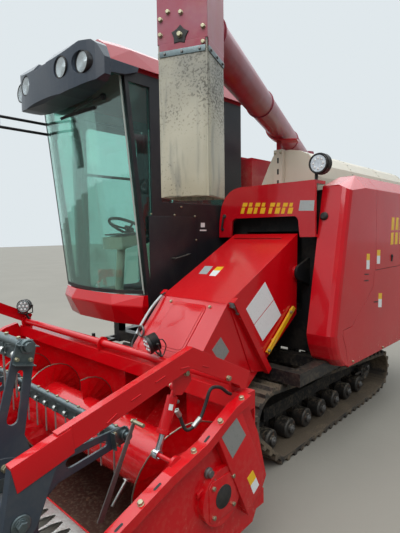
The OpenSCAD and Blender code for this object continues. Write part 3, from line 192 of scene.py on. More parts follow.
class Graph:
    """The node tree of one material, lamp or world."""

    def __init__(self, tree: bpy.types.NodeTree) -> None:
        """Empties the tree that it is given."""
        self.tree = tree
        tree.nodes.clear()

    def add(
        self,
        kind: str,
        settings: dict[str, object] | None = None,
        inputs: dict[Union[str, int], Value] | None = None,
        output: Union[str, int] = 0,
    ) -> Signal:
        """Adds a node, sets it up and joins its sockets.

        Args:
            kind: The node's type.
            settings: Its properties; "stops" fills a colour ramp.
            inputs: Values or signals of its input sockets, by name or place.
            output: The output socket that is returned.

        Returns:
            The output as a signal.
        """
        node = self.tree.nodes.new(kind)
        for name, value in (settings or {}).items():
            if name == "stops":
                elements = node.color_ramp.elements
                while len(elements) < len(value):
                    elements.new(1.0)
                for element, (at, colour) in zip(elements, value):
                    element.position, element.color = at, (*colour, 1.0)
            else:
                setattr(node, name, value)
        for name, value in (inputs or {}).items():
            if isinstance(value, Signal):
                self.tree.links.new(value.socket, node.inputs[name])
            else:
                socket = node.inputs[name]
                socket.default_value = (*value, 1.0) if socket.type == "RGBA" and len(value) == 3 else value
        return Signal(self, node.outputs[output] if node.outputs else None)

    @functools.cached_property
    def here(self) -> Signal:
        """The place on the piece, in metres of the model at rest."""
        return self.add("ShaderNodeTexCoord", output="Object")

    @functools.cached_property
    def height(self) -> Signal:
        """The height above the ground, in metres, of the model at rest."""
        return self.part(self.here, "Z")

    @functools.cached_property
    def upward(self) -> Signal:
        """1 on a face that looks up and -1 on one that looks down."""
        return self.part(self.add("ShaderNodeTexCoord", output="Normal"), "Z")

    def noise(
        self, scale: float, detail: float = 3.0, warp: float = 0.0, stretch: Point = (1, 1, 1)
    ) -> Signal:
        """A noise over the piece.

        Args:
            scale: Its features per metre.
            detail: Its octaves.
            warp: Its distortion.
            stretch: A factor on each axis.

        Returns:
            The noise, mostly between 0.3 and 0.7.
        """
        where = self.here
        if tuple(stretch) != (1, 1, 1):
            where = self.add("ShaderNodeVectorMath", {"operation": "MULTIPLY"}, {0: where, 1: tuple(stretch)})
        return self.add(
            "ShaderNodeTexNoise", None,
            {"Vector": where, "Scale": scale, "Detail": detail, "Distortion": warp}
        )

    def cells(self, scale: float, output: str = "Distance") -> Signal:
        """Voronoi cells over the piece, with that many a metre."""
        inputs = {"Vector": self.here, "Scale": scale}
        return self.add("ShaderNodeTexVoronoi", {"feature": "F1"}, inputs, output)

    def bands(self, scale: float, axis: str) -> Signal:
        """Waves over the piece along an axis."""
        inputs = {"Vector": self.here, "Scale": scale}
        return self.add("ShaderNodeTexWave", {"bands_direction": axis}, inputs)

    def part(self, vector: Signal, axis: str) -> Signal:
        """One part of a vector or colour."""
        return self.add("ShaderNodeSeparateXYZ", None, {0: vector}, axis)

    def fresnel(self, blend: float) -> Signal:
        """How far a surface is seen at a glance."""
        return self.add("ShaderNodeLayerWeight", None, {"Blend": blend}, "Fresnel")

    def blend(self, share: Value, first: Signal, second: Signal) -> Signal:
        """Mixes two shaders: share 0 gives the first and 1 the second."""
        return self.add("ShaderNodeMixShader", None, {0: share, 1: first, 2: second})

    def mix(self, share: Value, first: Value, second: Value) -> Signal:
        """Mixes two colours: share 0 gives the first and 1 the second."""
        return self.add("ShaderNodeMix", {"data_type": "RGBA"}, {0: share, 6: first, 7: second}, 2)

    def bump(
        self, height: Signal, depth: float, strength: float = 1.0, normal: Signal | None = None
    ) -> Signal:
        """A bump.

        Args:
            height: The height signal.
            depth: What a height of 1 stands for, in metres.
            strength: The share of the bump that is used.
            normal: The normal that it starts from.

        Returns:
            The bumped normal.
        """
        inputs: dict[Union[str, int], Value] = {"Height": height, "Distance": depth, "Strength": strength}
        if normal is not None:
            inputs["Normal"] = normal
        return self.add("ShaderNodeBump", None, inputs)

    def rounded(self, radius: float) -> Signal:
        """The normal of a surface whose edges are broken to a radius in metres."""
        return self.add("ShaderNodeBevel", {"samples": 4}, {"Radius": radius})

    def principled(self, **inputs: Value) -> Signal:
        """Adds the main shader, with its sockets named in words joined by underscores."""
        return self.add("ShaderNodeBsdfPrincipled", None, {k.replace("_", " "): v for k, v in inputs.items()})

    def output(self, shader: Signal, kind: str = "ShaderNodeOutputMaterial") -> None:
        """Joins the shader to the tree's output."""
        self.add(kind, None, {"Surface": shader})


DUST = srgb(176, 160, 134)
MUD = srgb(112, 92, 70)


@dataclass(frozen=True)
class Enamel:
    """Sprayed paint on sheet steel: faint orange peel, a little dust, mud low down and rubbed spots."""

    colour: Rgb
    roughness: float = 0.2
    dust: float = 0.1
    mud: float = 0.3
    fade_and_sheen: float = 0.0
    coat: float = 0.55
    edge: float = 0.004
    dents: float = 0.22

    def shade(self, g: Graph) -> Signal:
        """Builds the paint's nodes."""
        cloud = g.noise(1.7, 3.0)
        grain = g.noise(42.0, 6.0)
        paint = g.mix(cloud.ease(0.3, 0.7), shade_of(self.colour, 0.94), shade_of(self.colour, 1.05))
        # Pale fading on the upward faces, in a violet grey that is partly the paint's own fading and partly a
        # painted sky reflection.
        if self.fade_and_sheen:
            chalk_and_sheen = tuple(0.4 * c + 0.6 * m for c, m in zip(self.colour, (0.3, 0.26, 0.34)))
            worn = (g.upward * 0.5 + 0.5).ease(0.1, 0.9) * 0.6 + g.noise(6.0, 5.0).ease(0.4, 0.75) * 0.4
            paint = g.mix(worn * self.fade_and_sheen, paint, chalk_and_sheen)
        settled = g.upward.ease(0.35, 0.98) * (grain * 0.7 + cloud * 0.5).ease(0.42, 0.78) * self.dust
        film = (g.noise(5.0, 5.0) * 0.7 + grain * 0.4).ease(0.5, 0.8) * self.dust * 0.5
        patches = (grain * 0.7 + g.noise(11.0, 5.0) * 0.4).ease(0.48, 0.72)
        splash = g.height.ease(1.0, 0.1) * patches * self.mud
        dirt = settled.most(splash).most(film)
        colour = g.mix(dirt, paint, g.mix(splash, DUST, MUD))
        peel = g.bump(g.noise(420.0, 2.0), 0.0006, 0.08, g.rounded(self.edge))
        return g.principled(
            Base_Color=colour,
            Roughness=(dirt * 0.6 + self.roughness + grain * 0.05).least(0.95),
            Normal=g.bump(g.noise(3.0, 1.0), 0.014, self.dents, peel),
            Coat_Weight=(1 - dirt) * self.coat,
            Coat_Roughness=0.06,
            Specular_IOR_Level=0.32,
        )


@dataclass(frozen=True)
class Metal:
    """Bare or plated metal: zinc spangle, brushed streaks, rust in the hollows and dust."""

    colour: Rgb
    roughness: float = 0.38
    spangle: float = 0.0
    rust: float = 0.0
    dust: float = 0.2
    edge: float = 0.0015

    def shade(self, g: Graph) -> Signal:
        """Builds the metal's nodes."""
        grain = g.noise(55.0, 5.0, 0.5)
        tone = g.part(g.cells(90.0, "Color"), "X") * self.spangle
        metal = g.mix(tone.most(grain.ease(0.3, 0.75) * 0.6), self.colour, shade_of(self.colour, 0.62))
        rusty = (g.noise(16.0, 6.0, 1.0) * 0.8 + grain * 0.3).ease(
            0.72 - 0.4 * self.rust, 0.86 - 0.3 * self.rust
        )
        rusty = rusty * min(1.0, 2.0 * self.rust)
        brown = g.mix(grain, srgb(96, 58, 34), srgb(140, 92, 54))
        settled = g.upward.ease(0.2, 0.95) * grain.ease(0.42, 0.7) * self.dust
        colour = g.mix(settled, g.mix(rusty, metal, brown), DUST)
        return g.principled(
            Base_Color=colour,
            Metallic=(1 - rusty.most(settled)) * 0.92,
            Roughness=(rusty.most(settled) * 0.45 + self.roughness + grain * 0.14).least(0.95),
            Normal=g.bump(grain, 0.0012, 0.25, g.rounded(self.edge)),
        )


@dataclass(frozen=True)
class Moulding:
    """Moulded plastic or rubber with a fine leather grain and dust on top."""

    colour: Rgb
    roughness: float = 0.5
    dust: float = 0.35
    grain: float = 0.35
    edge: float = 0.003

    def shade(self, g: Graph) -> Signal:
        """Builds the plastic's nodes."""
        cloud = g.noise(5.0, 4.0, 0.5)
        pores = g.cells(700.0)
        patches = (cloud * 0.7 + g.noise(60.0, 5.0) * 0.4).ease(0.45, 0.78)
        settled = (g.upward.ease(0.2, 0.95) * 0.8 + 0.2) * patches
        settled = settled * self.dust
        return g.principled(
            Base_Color=g.mix(settled, g.mix(cloud, self.colour, shade_of(self.colour, 1.35)), DUST),
            Roughness=(settled * 0.4 + self.roughness + cloud * 0.08).least(0.95),
            Normal=g.bump(pores, 0.0004, self.grain, g.rounded(self.edge)),
        )


@dataclass(frozen=True)
class TrackRubber:
    """Rubber belt with dry earth packed in its hollows and worn, dusty lugs."""

    colour: Rgb
    earth: float = 0.65

    def shade(self, g: Graph) -> Signal:
        """Builds the belt's nodes."""
        cloud = g.noise(7.0, 5.0, 0.8)
        grain = g.noise(80.0, 6.0, 0.4)
        caked = (cloud * 0.9 + grain * 0.35).ease(0.5, 0.78) * self.earth
        settled = g.upward.ease(0.3, 0.95) * 0.45
        brown = g.mix(grain, srgb(92, 78, 62), srgb(150, 132, 106))
        return g.principled(
            Base_Color=g.mix(
                caked.most(settled), g.mix(grain, self.colour, shade_of(self.colour, 1.7)), brown
            ),
            Roughness=(caked * 0.25 + 0.68).least(0.95),
            Normal=g.bump(grain + cloud, 0.004, 0.5, g.rounded(0.006)),
        )


@dataclass(frozen=True)
class Glazing:
    """Green tinted glass: clear seen straight on, a mirror at a glance, with a film of dust."""

    tint: Rgb
    body: float = 0.1

    def shade(self, g: Graph) -> Signal:
        """Builds the glass's nodes."""
        film = g.noise(5.0, 5.0).ease(0.5, 0.9) * 0.12
        glance = g.fresnel(0.25)
        pane = g.principled(
            Base_Color=g.mix(film * 4.0, shade_of(self.tint, 1.05), srgb(176, 184, 176)),
            Roughness=0.04,
            Metallic=0.85,
        )
        clear = g.add("ShaderNodeBsdfTransparent", None, {"Color": self.tint})
        share = (film + glance * 0.55 + self.body).least(1.0)
        return g.blend(share, clear, pane)


@dataclass(frozen=True)
class Vinyl:
    """A printed film or a painted mark, a little scuffed and yellowed."""

    colour: Rgb
    roughness: float = 0.32
    scuff: float = 0.3
    foil: float = 0.0

    def shade(self, g: Graph) -> Signal:
        """Builds the film's nodes."""
        wear = g.noise(70.0, 6.0, 1.0).ease(0.5, 0.75) * self.scuff
        return g.principled(
            Base_Color=g.mix(wear, self.colour, shade_of(self.colour, 0.62)),
            Metallic=self.foil,
            Roughness=wear * 0.3 + self.roughness,
            Normal=g.bump(g.noise(30.0, 3.0), 0.0006, 0.15),
        )


@dataclass(frozen=True)
class Cloth:
    """Woven seat cover with a soft sheen."""

    colour: Rgb
    thread: float = 900.0

    def shade(self, g: Graph) -> Signal:
        """Builds the weave's nodes."""
        weft, warp = (g.bands(self.thread / 6, axis) for axis in "XZ")
        wear = g.noise(14.0, 4.0).ease(0.4, 0.8)
        return g.principled(
            Base_Color=g.mix(wear, self.colour, shade_of(self.colour, 1.5)),
            Roughness=0.85,
            Sheen_Weight=0.3,
            Normal=g.bump(weft + warp, 0.0005, 0.4),
        )


@dataclass(frozen=True)
class ChutePlastic:
    """Milky sheet plastic, yellowed, greyed at its top and spotted with dirt down its sides."""

    colour: Rgb

    def shade(self, g: Graph) -> Signal:
        """Builds the chute's nodes."""
        cloud = g.noise(4.0, 4.0)
        spots = (g.noise(120.0, 4.0) * 0.8 + cloud * 0.4 + g.height.ease(1.8, 2.3) * 0.05).ease(0.655, 0.73)
        runs = g.noise(30.0, 6.0, 0.0, (1, 1, 0.12)).ease(0.48, 0.7) * 0.6
        head = g.height.ease(1.98, 2.28) * (cloud.ease(0.3, 0.7) * 0.75 + 0.2)
        aged = g.mix(g.height.ease(1.95, 1.76) * 0.7, self.colour, srgb(172, 160, 134))
        greyed = g.mix(head.most(runs), aged, srgb(112, 114, 110))
        return g.principled(
            Base_Color=g.mix(spots * (cloud.ease(0.35, 0.6) * 0.6 + 0.1), greyed, srgb(66, 62, 54)),
            Roughness=spots * 0.3 + 0.45,
            Subsurface_Weight=0.1,
            Subsurface_Radius=(0.02, 0.015, 0.01),
            Normal=g.bump(g.noise(5.0, 3.0), 0.02, 0.35, g.rounded(0.004)),
        )


@dataclass(frozen=True)
class LampGlass:
    """A lamp's clear front with moulded flutes."""

    flutes: float = 260.0

    def shade(self, g: Graph) -> Signal:
        """Builds the lamp front's nodes."""
        flute = g.bands(self.flutes / 6, "Z")
        pane = g.principled(
            Base_Color=g.mix(flute, srgb(200, 206, 208), srgb(228, 232, 232)),
            Roughness=0.06,
            Normal=g.bump(flute, 0.001, 0.3),
        )
        clear = g.add("ShaderNodeBsdfTransparent", None, {"Color": (0.94, 0.96, 0.96)})
        return g.blend((g.fresnel(0.3) * 0.5 + 0.05).least(1.0), clear, pane)


@dataclass(frozen=True)
class WireMesh:
    """Fine woven wire as a sheet whose gaps are painted dark, a painted shade seen through the holes, with
    bright crossings.
    """

    colour: Rgb
    pitch: float = 0.008

    def shade(self, g: Graph) -> Signal:
        """Builds the mesh's nodes."""
        weft, warp = (g.bands(1.0 / self.pitch / 6.283, axis) for axis in "YZ")
        wire = weft.most(warp).ease(0.7, 0.9)
        clog = g.noise(12.0, 5.0).ease(0.5, 0.75) * 0.5
        return g.principled(
            # The gaps between the wires get a near black: painted shade behind the mesh.
            Base_Color=g.mix(clog, g.mix(wire, shade_of(self.colour, 0.15), self.colour), DUST),
            Metallic=wire * 0.6,
            Roughness=wire * -0.3 + 0.8,
            Normal=g.bump(wire, 0.001, 0.6),
        )


class Finish(Enum):
    """Every finish on the machine."""

    RED = Enamel(srgb(196, 2, 16), 0.2, 0.02, 0.1, 0.0, 0.4)
    ROOF_RED = Enamel(srgb(146, 10, 28), 0.34, 0.03, 0.0, 0.0, 0.15)
    COVER_RED = Enamel(srgb(190, 8, 24), 0.2, 0.05, 0.25, 0.0, 0.5, 0.006, 0.5)
    DEEP_RED = Enamel(srgb(168, 14, 28), 0.28, 0.3)
    # The tube's red: its violet grey on the upward faces is partly real fading and partly a painted sky
    # reflection.
    FADED_RED_AND_SKY_SHEEN = Enamel(srgb(150, 24, 44), 0.36, 0.35, 0.0, 0.8, 0.2)
    BLACK = Enamel(srgb(24, 24, 27), 0.34, 0.2, 0.4, 0.0, 0.2)
    SOOT = Enamel(srgb(18, 18, 20), 0.6, 0.12, 0.2, 0.0, 0.0)
    SLATE = Enamel(srgb(54, 62, 71), 0.3, 0.12, 0.15, 0.0, 0.3)
    GREY = Enamel(srgb(98, 100, 102), 0.42, 0.5, 0.7)
    CREAM = Enamel(srgb(206, 200, 180), 0.34, 0.3, 0.0, 0.15, 0.2)
    YELLOW = Enamel(srgb(228, 170, 12), 0.3, 0.25, 0.2)
    ZINC = Metal(srgb(116, 128, 130), 0.34, 0.6, 0.03, 0.1)
    STEEL = Metal(srgb(180, 180, 176), 0.26, 0.0, 0.04)
    BOLT = Metal(srgb(176, 170, 142), 0.34, 0.25, 0.08, 0.15, 0.001)
    CHROME = Metal(srgb(214, 216, 220), 0.1, 0.0, 0.0, 0.03)
    MIRROR = Metal(srgb(232, 236, 238), 0.03, 0.0, 0.0, 0.02)
    IRON = Metal(srgb(86, 83, 80), 0.5, 0.0, 0.3, 0.6, 0.004)
    HUB = Metal(srgb(128, 126, 124), 0.45, 0.2, 0.12, 0.35, 0.002)
    WORN_EDGE = Metal(srgb(142, 132, 118), 0.32, 0.0, 0.3, 0.1)
    WORN_FLOOR = Metal(srgb(74, 50, 42), 0.45, 0.0, 0.2, 0.12)
    PANEL_BLACK = Moulding(srgb(26, 27, 31), 0.34, 0.16)
    # Black plastic with a blue cast that is a painted sky reflection.
    VISOR = Moulding(srgb(34, 44, 56), 0.32, 0.2)
    CONSOLE = Moulding(srgb(196, 188, 168), 0.55, 0.25)
    RUBBER = Moulding(srgb(22, 22, 23), 0.6, 0.3)
    SEALANT = Moulding(srgb(150, 158, 150), 0.3, 0.1, 0.1)
    SAFETY_PLASTIC = Moulding(srgb(232, 160, 20), 0.4, 0.1)
    TAIL_RED = Moulding(srgb(190, 20, 22), 0.12, 0.1, 0.1)
    TRACK = TrackRubber(srgb(34, 32, 31))
    SCREEN_GLASS = Glazing((0.78, 0.92, 0.88), 0.09)
    SIDE_GLASS = Glazing((0.7, 0.9, 0.86), 0.06)
    WHITE_FILM = Vinyl(srgb(226, 228, 226))
    SILVER_FILM = Vinyl(srgb(176, 182, 180), 0.4, 0.4, 0.2)
    GREY_FILM = Vinyl(srgb(132, 132, 128), 0.42, 0.5)
    YELLOW_FILM = Vinyl(srgb(236, 186, 30))
    # Near black film laid where there is only shade: inside slots and below a raised strip.
    PAINTED_SHADE = Vinyl(srgb(20, 18, 18), 0.5)
    SEAT_CLOTH = Cloth(srgb(38, 40, 44))
    CHUTE = ChutePlastic(srgb(180, 174, 154))
    LAMP = LampGlass()
    MESH = WireMesh(srgb(96, 98, 100))


@functools.cache
def material(finish: Finish) -> bpy.types.Material:
    """Makes a finish's material once.

    Args:
        finish: The finish.

    Returns:
        Its material.
    """
    made = bpy.data.materials.new(finish.name.lower())
    made.use_nodes = True
    graph = Graph(made.node_tree)
    graph.output(finish.value.shade(graph))
    return made


@dataclass(frozen=True)
class View:
    """Where the photograph was taken from, and how it maps onto its pixels."""

    eye: Point = (2464.3, -2160.0, 1638.1)
    azimuth: float = 43.3
    pitch: float = -4.5
    roll: float = -0.8
    focal: float = 425.3
    width: float = 400.0
    height: float = 533.0

    def axes(self) -> tuple[Vector, Vector, Vector]:
        """The directions to the right, up and ahead."""
        turn, nod, lean = (math.radians(a) for a in (self.azimuth, self.pitch, self.roll))
        ahead = Vector((-math.sin(turn) * math.cos(nod), math.cos(turn) * math.cos(nod), math.sin(nod)))
        level = Vector((math.cos(turn), math.sin(turn), 0))
        above = level.cross(ahead)
        right = level * math.cos(lean) + above * math.sin(lean)
        return right, above * math.cos(lean) - level * math.sin(lean), ahead

    def ray(self, spot: Point) -> Vector:
        """The direction in which a pixel of the photograph looks."""
        right, up, ahead = self.axes()
        return ahead * self.focal + right * (spot[0] - self.width / 2) + up * (self.height / 2 - spot[1])


Seat = tuple[Vector, Vector]


class Machine:
    """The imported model: its nodes, and the surfaces on which fittings are seated."""

    def __init__(self) -> None:
        """Loads the frame and notes its box."""
        self.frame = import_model()
        self.nodes: dict[str, bpy.types.Object] = self.frame["nodes"]
        self.box_at_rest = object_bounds()
        self.view = View()
        self._trees: dict[str, BVHTree] = {}

    def dress(self, finish: Finish, *names: str) -> None:
        """Gives CAD nodes a finish."""
        for name in names:
            data = self.nodes[name].data
            data.materials.clear()
            data.materials.append(material(finish))

    def dress_part(self, finish: Finish, name: str, holds: Callable[[Vector], bool]) -> None:
        """Gives the faces of one node whose middle meets a test another finish.

        Args:
            finish: The finish of those faces.
            name: The node.
            holds: The test, on the face's middle in drawing millimetres.
        """
        data = self.nodes[name].data
        data.materials.append(material(finish))
        for face in data.polygons:
            if holds(drawn(face.center)):
                face.material_index = len(data.materials) - 1

    def _tree(self, node: str) -> BVHTree:
        """The search tree of a node's faces, made once."""
        if node not in self._trees:
            data = self.nodes[node].data
            points = [v.co.copy() for v in data.vertices]
            self._trees[node] = BVHTree.FromPolygons(points, [p.vertices[:] for p in data.polygons])
        return self._trees[node]

    def seat(self, nodes: Union[str, Sequence[str]], start: Point, toward: Point) -> Seat:
        """Finds where a line first meets the surface of one of some nodes.

        Args:
            nodes: The node or nodes.
            start: A point outside them, in millimetres.
            toward: The direction in which to look.

        Returns:
            The point in millimetres and the surface's normal, turned towards the start.
        """
        way = Vector(toward).normalized()
        found = []
        for node in [nodes] if isinstance(nodes, str) else nodes:
            hit, normal, _, distance = self._tree(node).ray_cast(place(start), way)
            if hit is not None:
                found.append((distance, hit, -normal if normal.dot(way) > 0 else normal))
        if not found:
            raise ValueError(f"nothing of {nodes} lies from {tuple(start)} towards {tuple(toward)}")
        _, hit, normal = min(found, key=lambda f: f[0])
        return drawn(hit), normal

    def sight(self, nodes: Union[str, Sequence[str]], spot: Point) -> Seat:
        """Finds the surface point that a pixel of the photograph shows."""
        return self.seat(nodes, self.view.eye, self.view.ray(spot))


class Piece:
    """Gathers faces in drawing millimetres and makes one object of them."""

    def __init__(self, name: str) -> None:
        """Starts an empty piece."""
        self.name = name
        self.mesh = bmesh.new()

    def prism(self, outline: Iterable[Point], depth: Point, bevel: float = 0.0) -> "Piece":
        """Adds a flat outline drawn out along a vector.

        Args:
            outline: The corners, in order.
            depth: The vector from one face to the other.
            bevel: The radius of the broken edges.

        Returns:
            The piece itself.
        """
        bottom = [self.mesh.verts.new(Vector(p)) for p in outline]
        top = [self.mesh.verts.new(v.co + Vector(depth)) for v in bottom]
        count = len(bottom)
        faces = [self.mesh.faces.new(bottom[::-1]), self.mesh.faces.new(top)]
        faces += [
            self.mesh.faces.new((bottom[i], bottom[(i + 1) % count], top[(i + 1) % count], top[i]))
            for i in range(count)
        ]
        if bevel:
            edges = {e for f in faces for e in f.edges}
            bmesh.ops.bevel(
                self.mesh, geom=list(edges), offset=bevel, segments=2, profile=0.7, affect="EDGES"
            )
        return self

    def box(self, low: Point, high: Point, bevel: float = 1.5) -> "Piece":
        """Adds a box with broken edges between two corners."""
        corners = [
            (low[0], low[1], low[2]), (high[0], low[1], low[2]), (high[0], high[1], low[2]),
            (low[0], high[1], low[2])
        ]
        return self.prism(corners, (0, 0, high[2] - low[2]), bevel)

    def turned(
        self, foot: Point, axis: Point, profile: Sequence[Point], steps: int = 24, ring: bool = False
    ) -> "Piece":
        """Adds a turned form.

        Args:
            foot: Where the axis starts.
            axis: The axis' direction.
            profile: Pairs of the distance along the axis and the radius, from one end to the other.
            steps: Sides round the axis.
            ring: Whether the profile closes on itself round a hole.

        Returns:
            The piece itself.
        """
        way = Vector(axis).normalized()
        side = way.orthogonal().normalized()
        up = way.cross(side)
        rings = []
        for along, radius in profile:
            centre = Vector(foot) + way * along
            rings.append(
                self._round(centre, side, up, radius, steps) if radius > 0
                else [self.mesh.verts.new(centre)]
            )
        for lower, upper in zip(rings, rings[1:] + rings[:1] if ring else rings[1:]):
            for k in range(steps):
                n = (k + 1) % steps
                if len(lower) == 1 and len(upper) == 1:
                    continue
                if len(lower) == 1:
                    self.mesh.faces.new((lower[0], upper[n], upper[k]))
                elif len(upper) == 1:
                    self.mesh.faces.new((lower[k], lower[n], upper[0]))
                else:
                    self.mesh.faces.new((lower[k], lower[n], upper[n], upper[k]))
        for end in () if ring else (rings[0][::-1], rings[-1]):
            if len(end) > 2:
                self.mesh.faces.new(end)
        return self

    def _round(
        self, centre: Vector, side: Vector, up: Vector, radius: float, steps: int
    ) -> list[bmesh.types.BMVert]:
        """Adds the points of a circle."""
        ways = [side * math.cos(a) + up * math.sin(a) for a in around(steps)]
        return [self.mesh.verts.new(centre + way * radius) for way in ways]

    def slab(self, x: float, outline: Sequence[Point], thick: float, bevel: float = 0.0) -> "Piece":
        """Adds a plate that stands upright along the machine, from pairs of y and z."""
        return self.prism([(x, y, z) for y, z in outline], (thick, 0, 0), bevel)

    def tube(self, path: Sequence[Point], radius: float, steps: int = 10, smooth: int = 0) -> "Piece":
        """Adds a round bar or hose along a path.

        Args:
            path: The points of its centre line.
            radius: Its radius.
            steps: Sides round it.
            smooth: Points that are put in each span to bend it softly.

        Returns:
            The piece itself.
        """
        line = [Vector(p) for p in path]
        if smooth:
            line = flowing(line, smooth)
        rings: list[list[bmesh.types.BMVert]] = []
        side = None
        for i, point in enumerate(line):
            ahead = line[min(i + 1, len(line) - 1)] - line[max(i - 1, 0)]
            way = ahead.normalized()
            side = way.orthogonal() if side is None else side - way * side.dot(way)
            side.normalize()
            rings.append(self._round(point, side, way.cross(side), radius, steps))
        for lower, upper in zip(rings, rings[1:]):
            for k in range(steps):
                n = (k + 1) % steps
                self.mesh.faces.new((lower[k], lower[n], upper[n], upper[k]))
        self.mesh.faces.new(rings[0][::-1])
        self.mesh.faces.new(rings[-1])
        return self

    def plate(
        self, grid: Sequence[Sequence[Seat]], thick: float, sink: float = 0.3, closed: bool = False
    ) -> "Piece":
        """Adds a thin shell over a grid of surface points.

        Args:
            grid: Rows of points and normals.
            thick: Its thickness.
            sink: How far its back lies under the surface.
            closed: Whether each row runs round and meets its own start.

        Returns:
            The piece itself.
        """
        back = [[self.mesh.verts.new(p - n * sink) for p, n in row] for row in grid]
        face = [[self.mesh.verts.new(p + n * (thick - sink)) for p, n in row] for row in grid]
        rows, columns = len(grid), len(grid[0])
        spans = columns if closed else columns - 1
        for i in range(rows - 1):
            for k in range(spans):
                n = (k + 1) % columns
                self.mesh.faces.new((face[i][k], face[i][n], face[i + 1][n], face[i + 1][k]))
                self.mesh.faces.new((back[i][k], back[i + 1][k], back[i + 1][n], back[i][n]))
        for row in (0, rows - 1):
            for k in range(spans):
                n = (k + 1) % columns
                self.mesh.faces.new((face[row][k], back[row][k], back[row][n], face[row][n]))
        if not closed:
            for column in (0, columns - 1):
                for i in range(rows - 1):
                    lower, upper = ((face[k][column], back[k][column]) for k in (i, i + 1))
                    self.mesh.faces.new((lower[0], upper[0], upper[1], lower[1]))
        return self

    def coil(
        self, middle: Point, axis: Point, radius: float, wire: float, turns: float, pitch: float
    ) -> "Piece":
        """Adds a coil of wire round an axis.

        Args:
            middle: The middle of the coil.
            axis: Its axis.
            radius: The radius of its turns.
            wire: The radius of the wire.
            turns: How often it goes round.
            pitch: The distance between turns.

        Returns:
            The piece itself.
        """
        way = Vector(axis).normalized()
        side = way.orthogonal().normalized()
        up = way.cross(side)
        steps = int(turns * 10)
        path = []
        for k in range(steps + 1):
            a = 2 * math.pi * turns * k / steps
            along = way * (k / steps - 0.5) * turns * pitch
            path.append(Vector(middle) + along + (side * math.cos(a) + up * math.sin(a)) * radius)
        return self.tube(path, wire, 5)

    def bolt(self, at: Point, axis: Point, across: float = 19.0, washer: bool = True) -> "Piece":
        """Adds a hexagon head on its washer.

        Args:
            at: The point of the surface under the washer.
            axis: The way out of the surface.
            across: The head's width.
            washer: Whether a washer lies under it.

        Returns:
            The piece itself.
        """
        foot = Vector(at) - Vector(axis).normalized() * 1.5
        base = 3.5 if washer else 1.5
        if washer:
            self.turned(foot, axis, [(0, across * 0.62), (3.0, across * 0.62), (base, across * 0.58)], 20)
        head = across * 0.577
        self.turned(
            foot, axis, [(base - 1, head), (base + across * 0.5, head), (base + across * 0.58, head * 0.8)],
            6
        )
        return self

    def build(self, finish: Finish, body: str = "machine", smooth: float = 35.0) -> bpy.types.Object:
        """Makes the object, finishes it and sets it on its body.

        Args:
            finish: Its finish.
            body: The body that it rides on.
            smooth: The sharpest angle, in degrees, that is shaded as a curve.

        Returns:
            The object.
        """
        for vert in self.mesh.verts:
            vert.co = place(vert.co)
        bmesh.ops.recalc_face_normals(self.mesh, faces=self.mesh.faces)
        data = bpy.data.meshes.new(self.name)
        self.mesh.to_mesh(data)
        self.mesh.free()
        data.shade_smooth()
        data.set_sharp_from_angle(angle=math.radians(smooth))
        made = bpy.data.objects.new(self.name, data)
        bpy.context.scene.collection.objects.link(made)
        data.materials.append(material(finish))
        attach(made, body)
        LOG.info("%s: %d faces on %s", self.name, len(data.polygons), body)
        return made


def flowing(line: Sequence[Vector], extra: int) -> list[Vector]:
    """Puts points into each span of a line so that it bends softly through its own points.

    Args:
        line: The points.
        extra: Points to put into each span.

    Returns:
        The longer list.
    """
    made = []
    for i in range(len(line) - 1):
        before, start, end, after = (
            line[max(i - 1, 0)], line[i], line[i + 1], line[min(i + 2, len(line) - 1)]
        )
        for k in range(extra + 1):
            t = k / (extra + 1)
            made.append(
                0.5
                * (
                    2 * start
                    + (end - before) * t
                    + (2 * before - 5 * start + 4 * end - after) * t * t
                    + (3 * start - before - 3 * end + after) * t**3
                )
            )
    return made + [line[-1]]


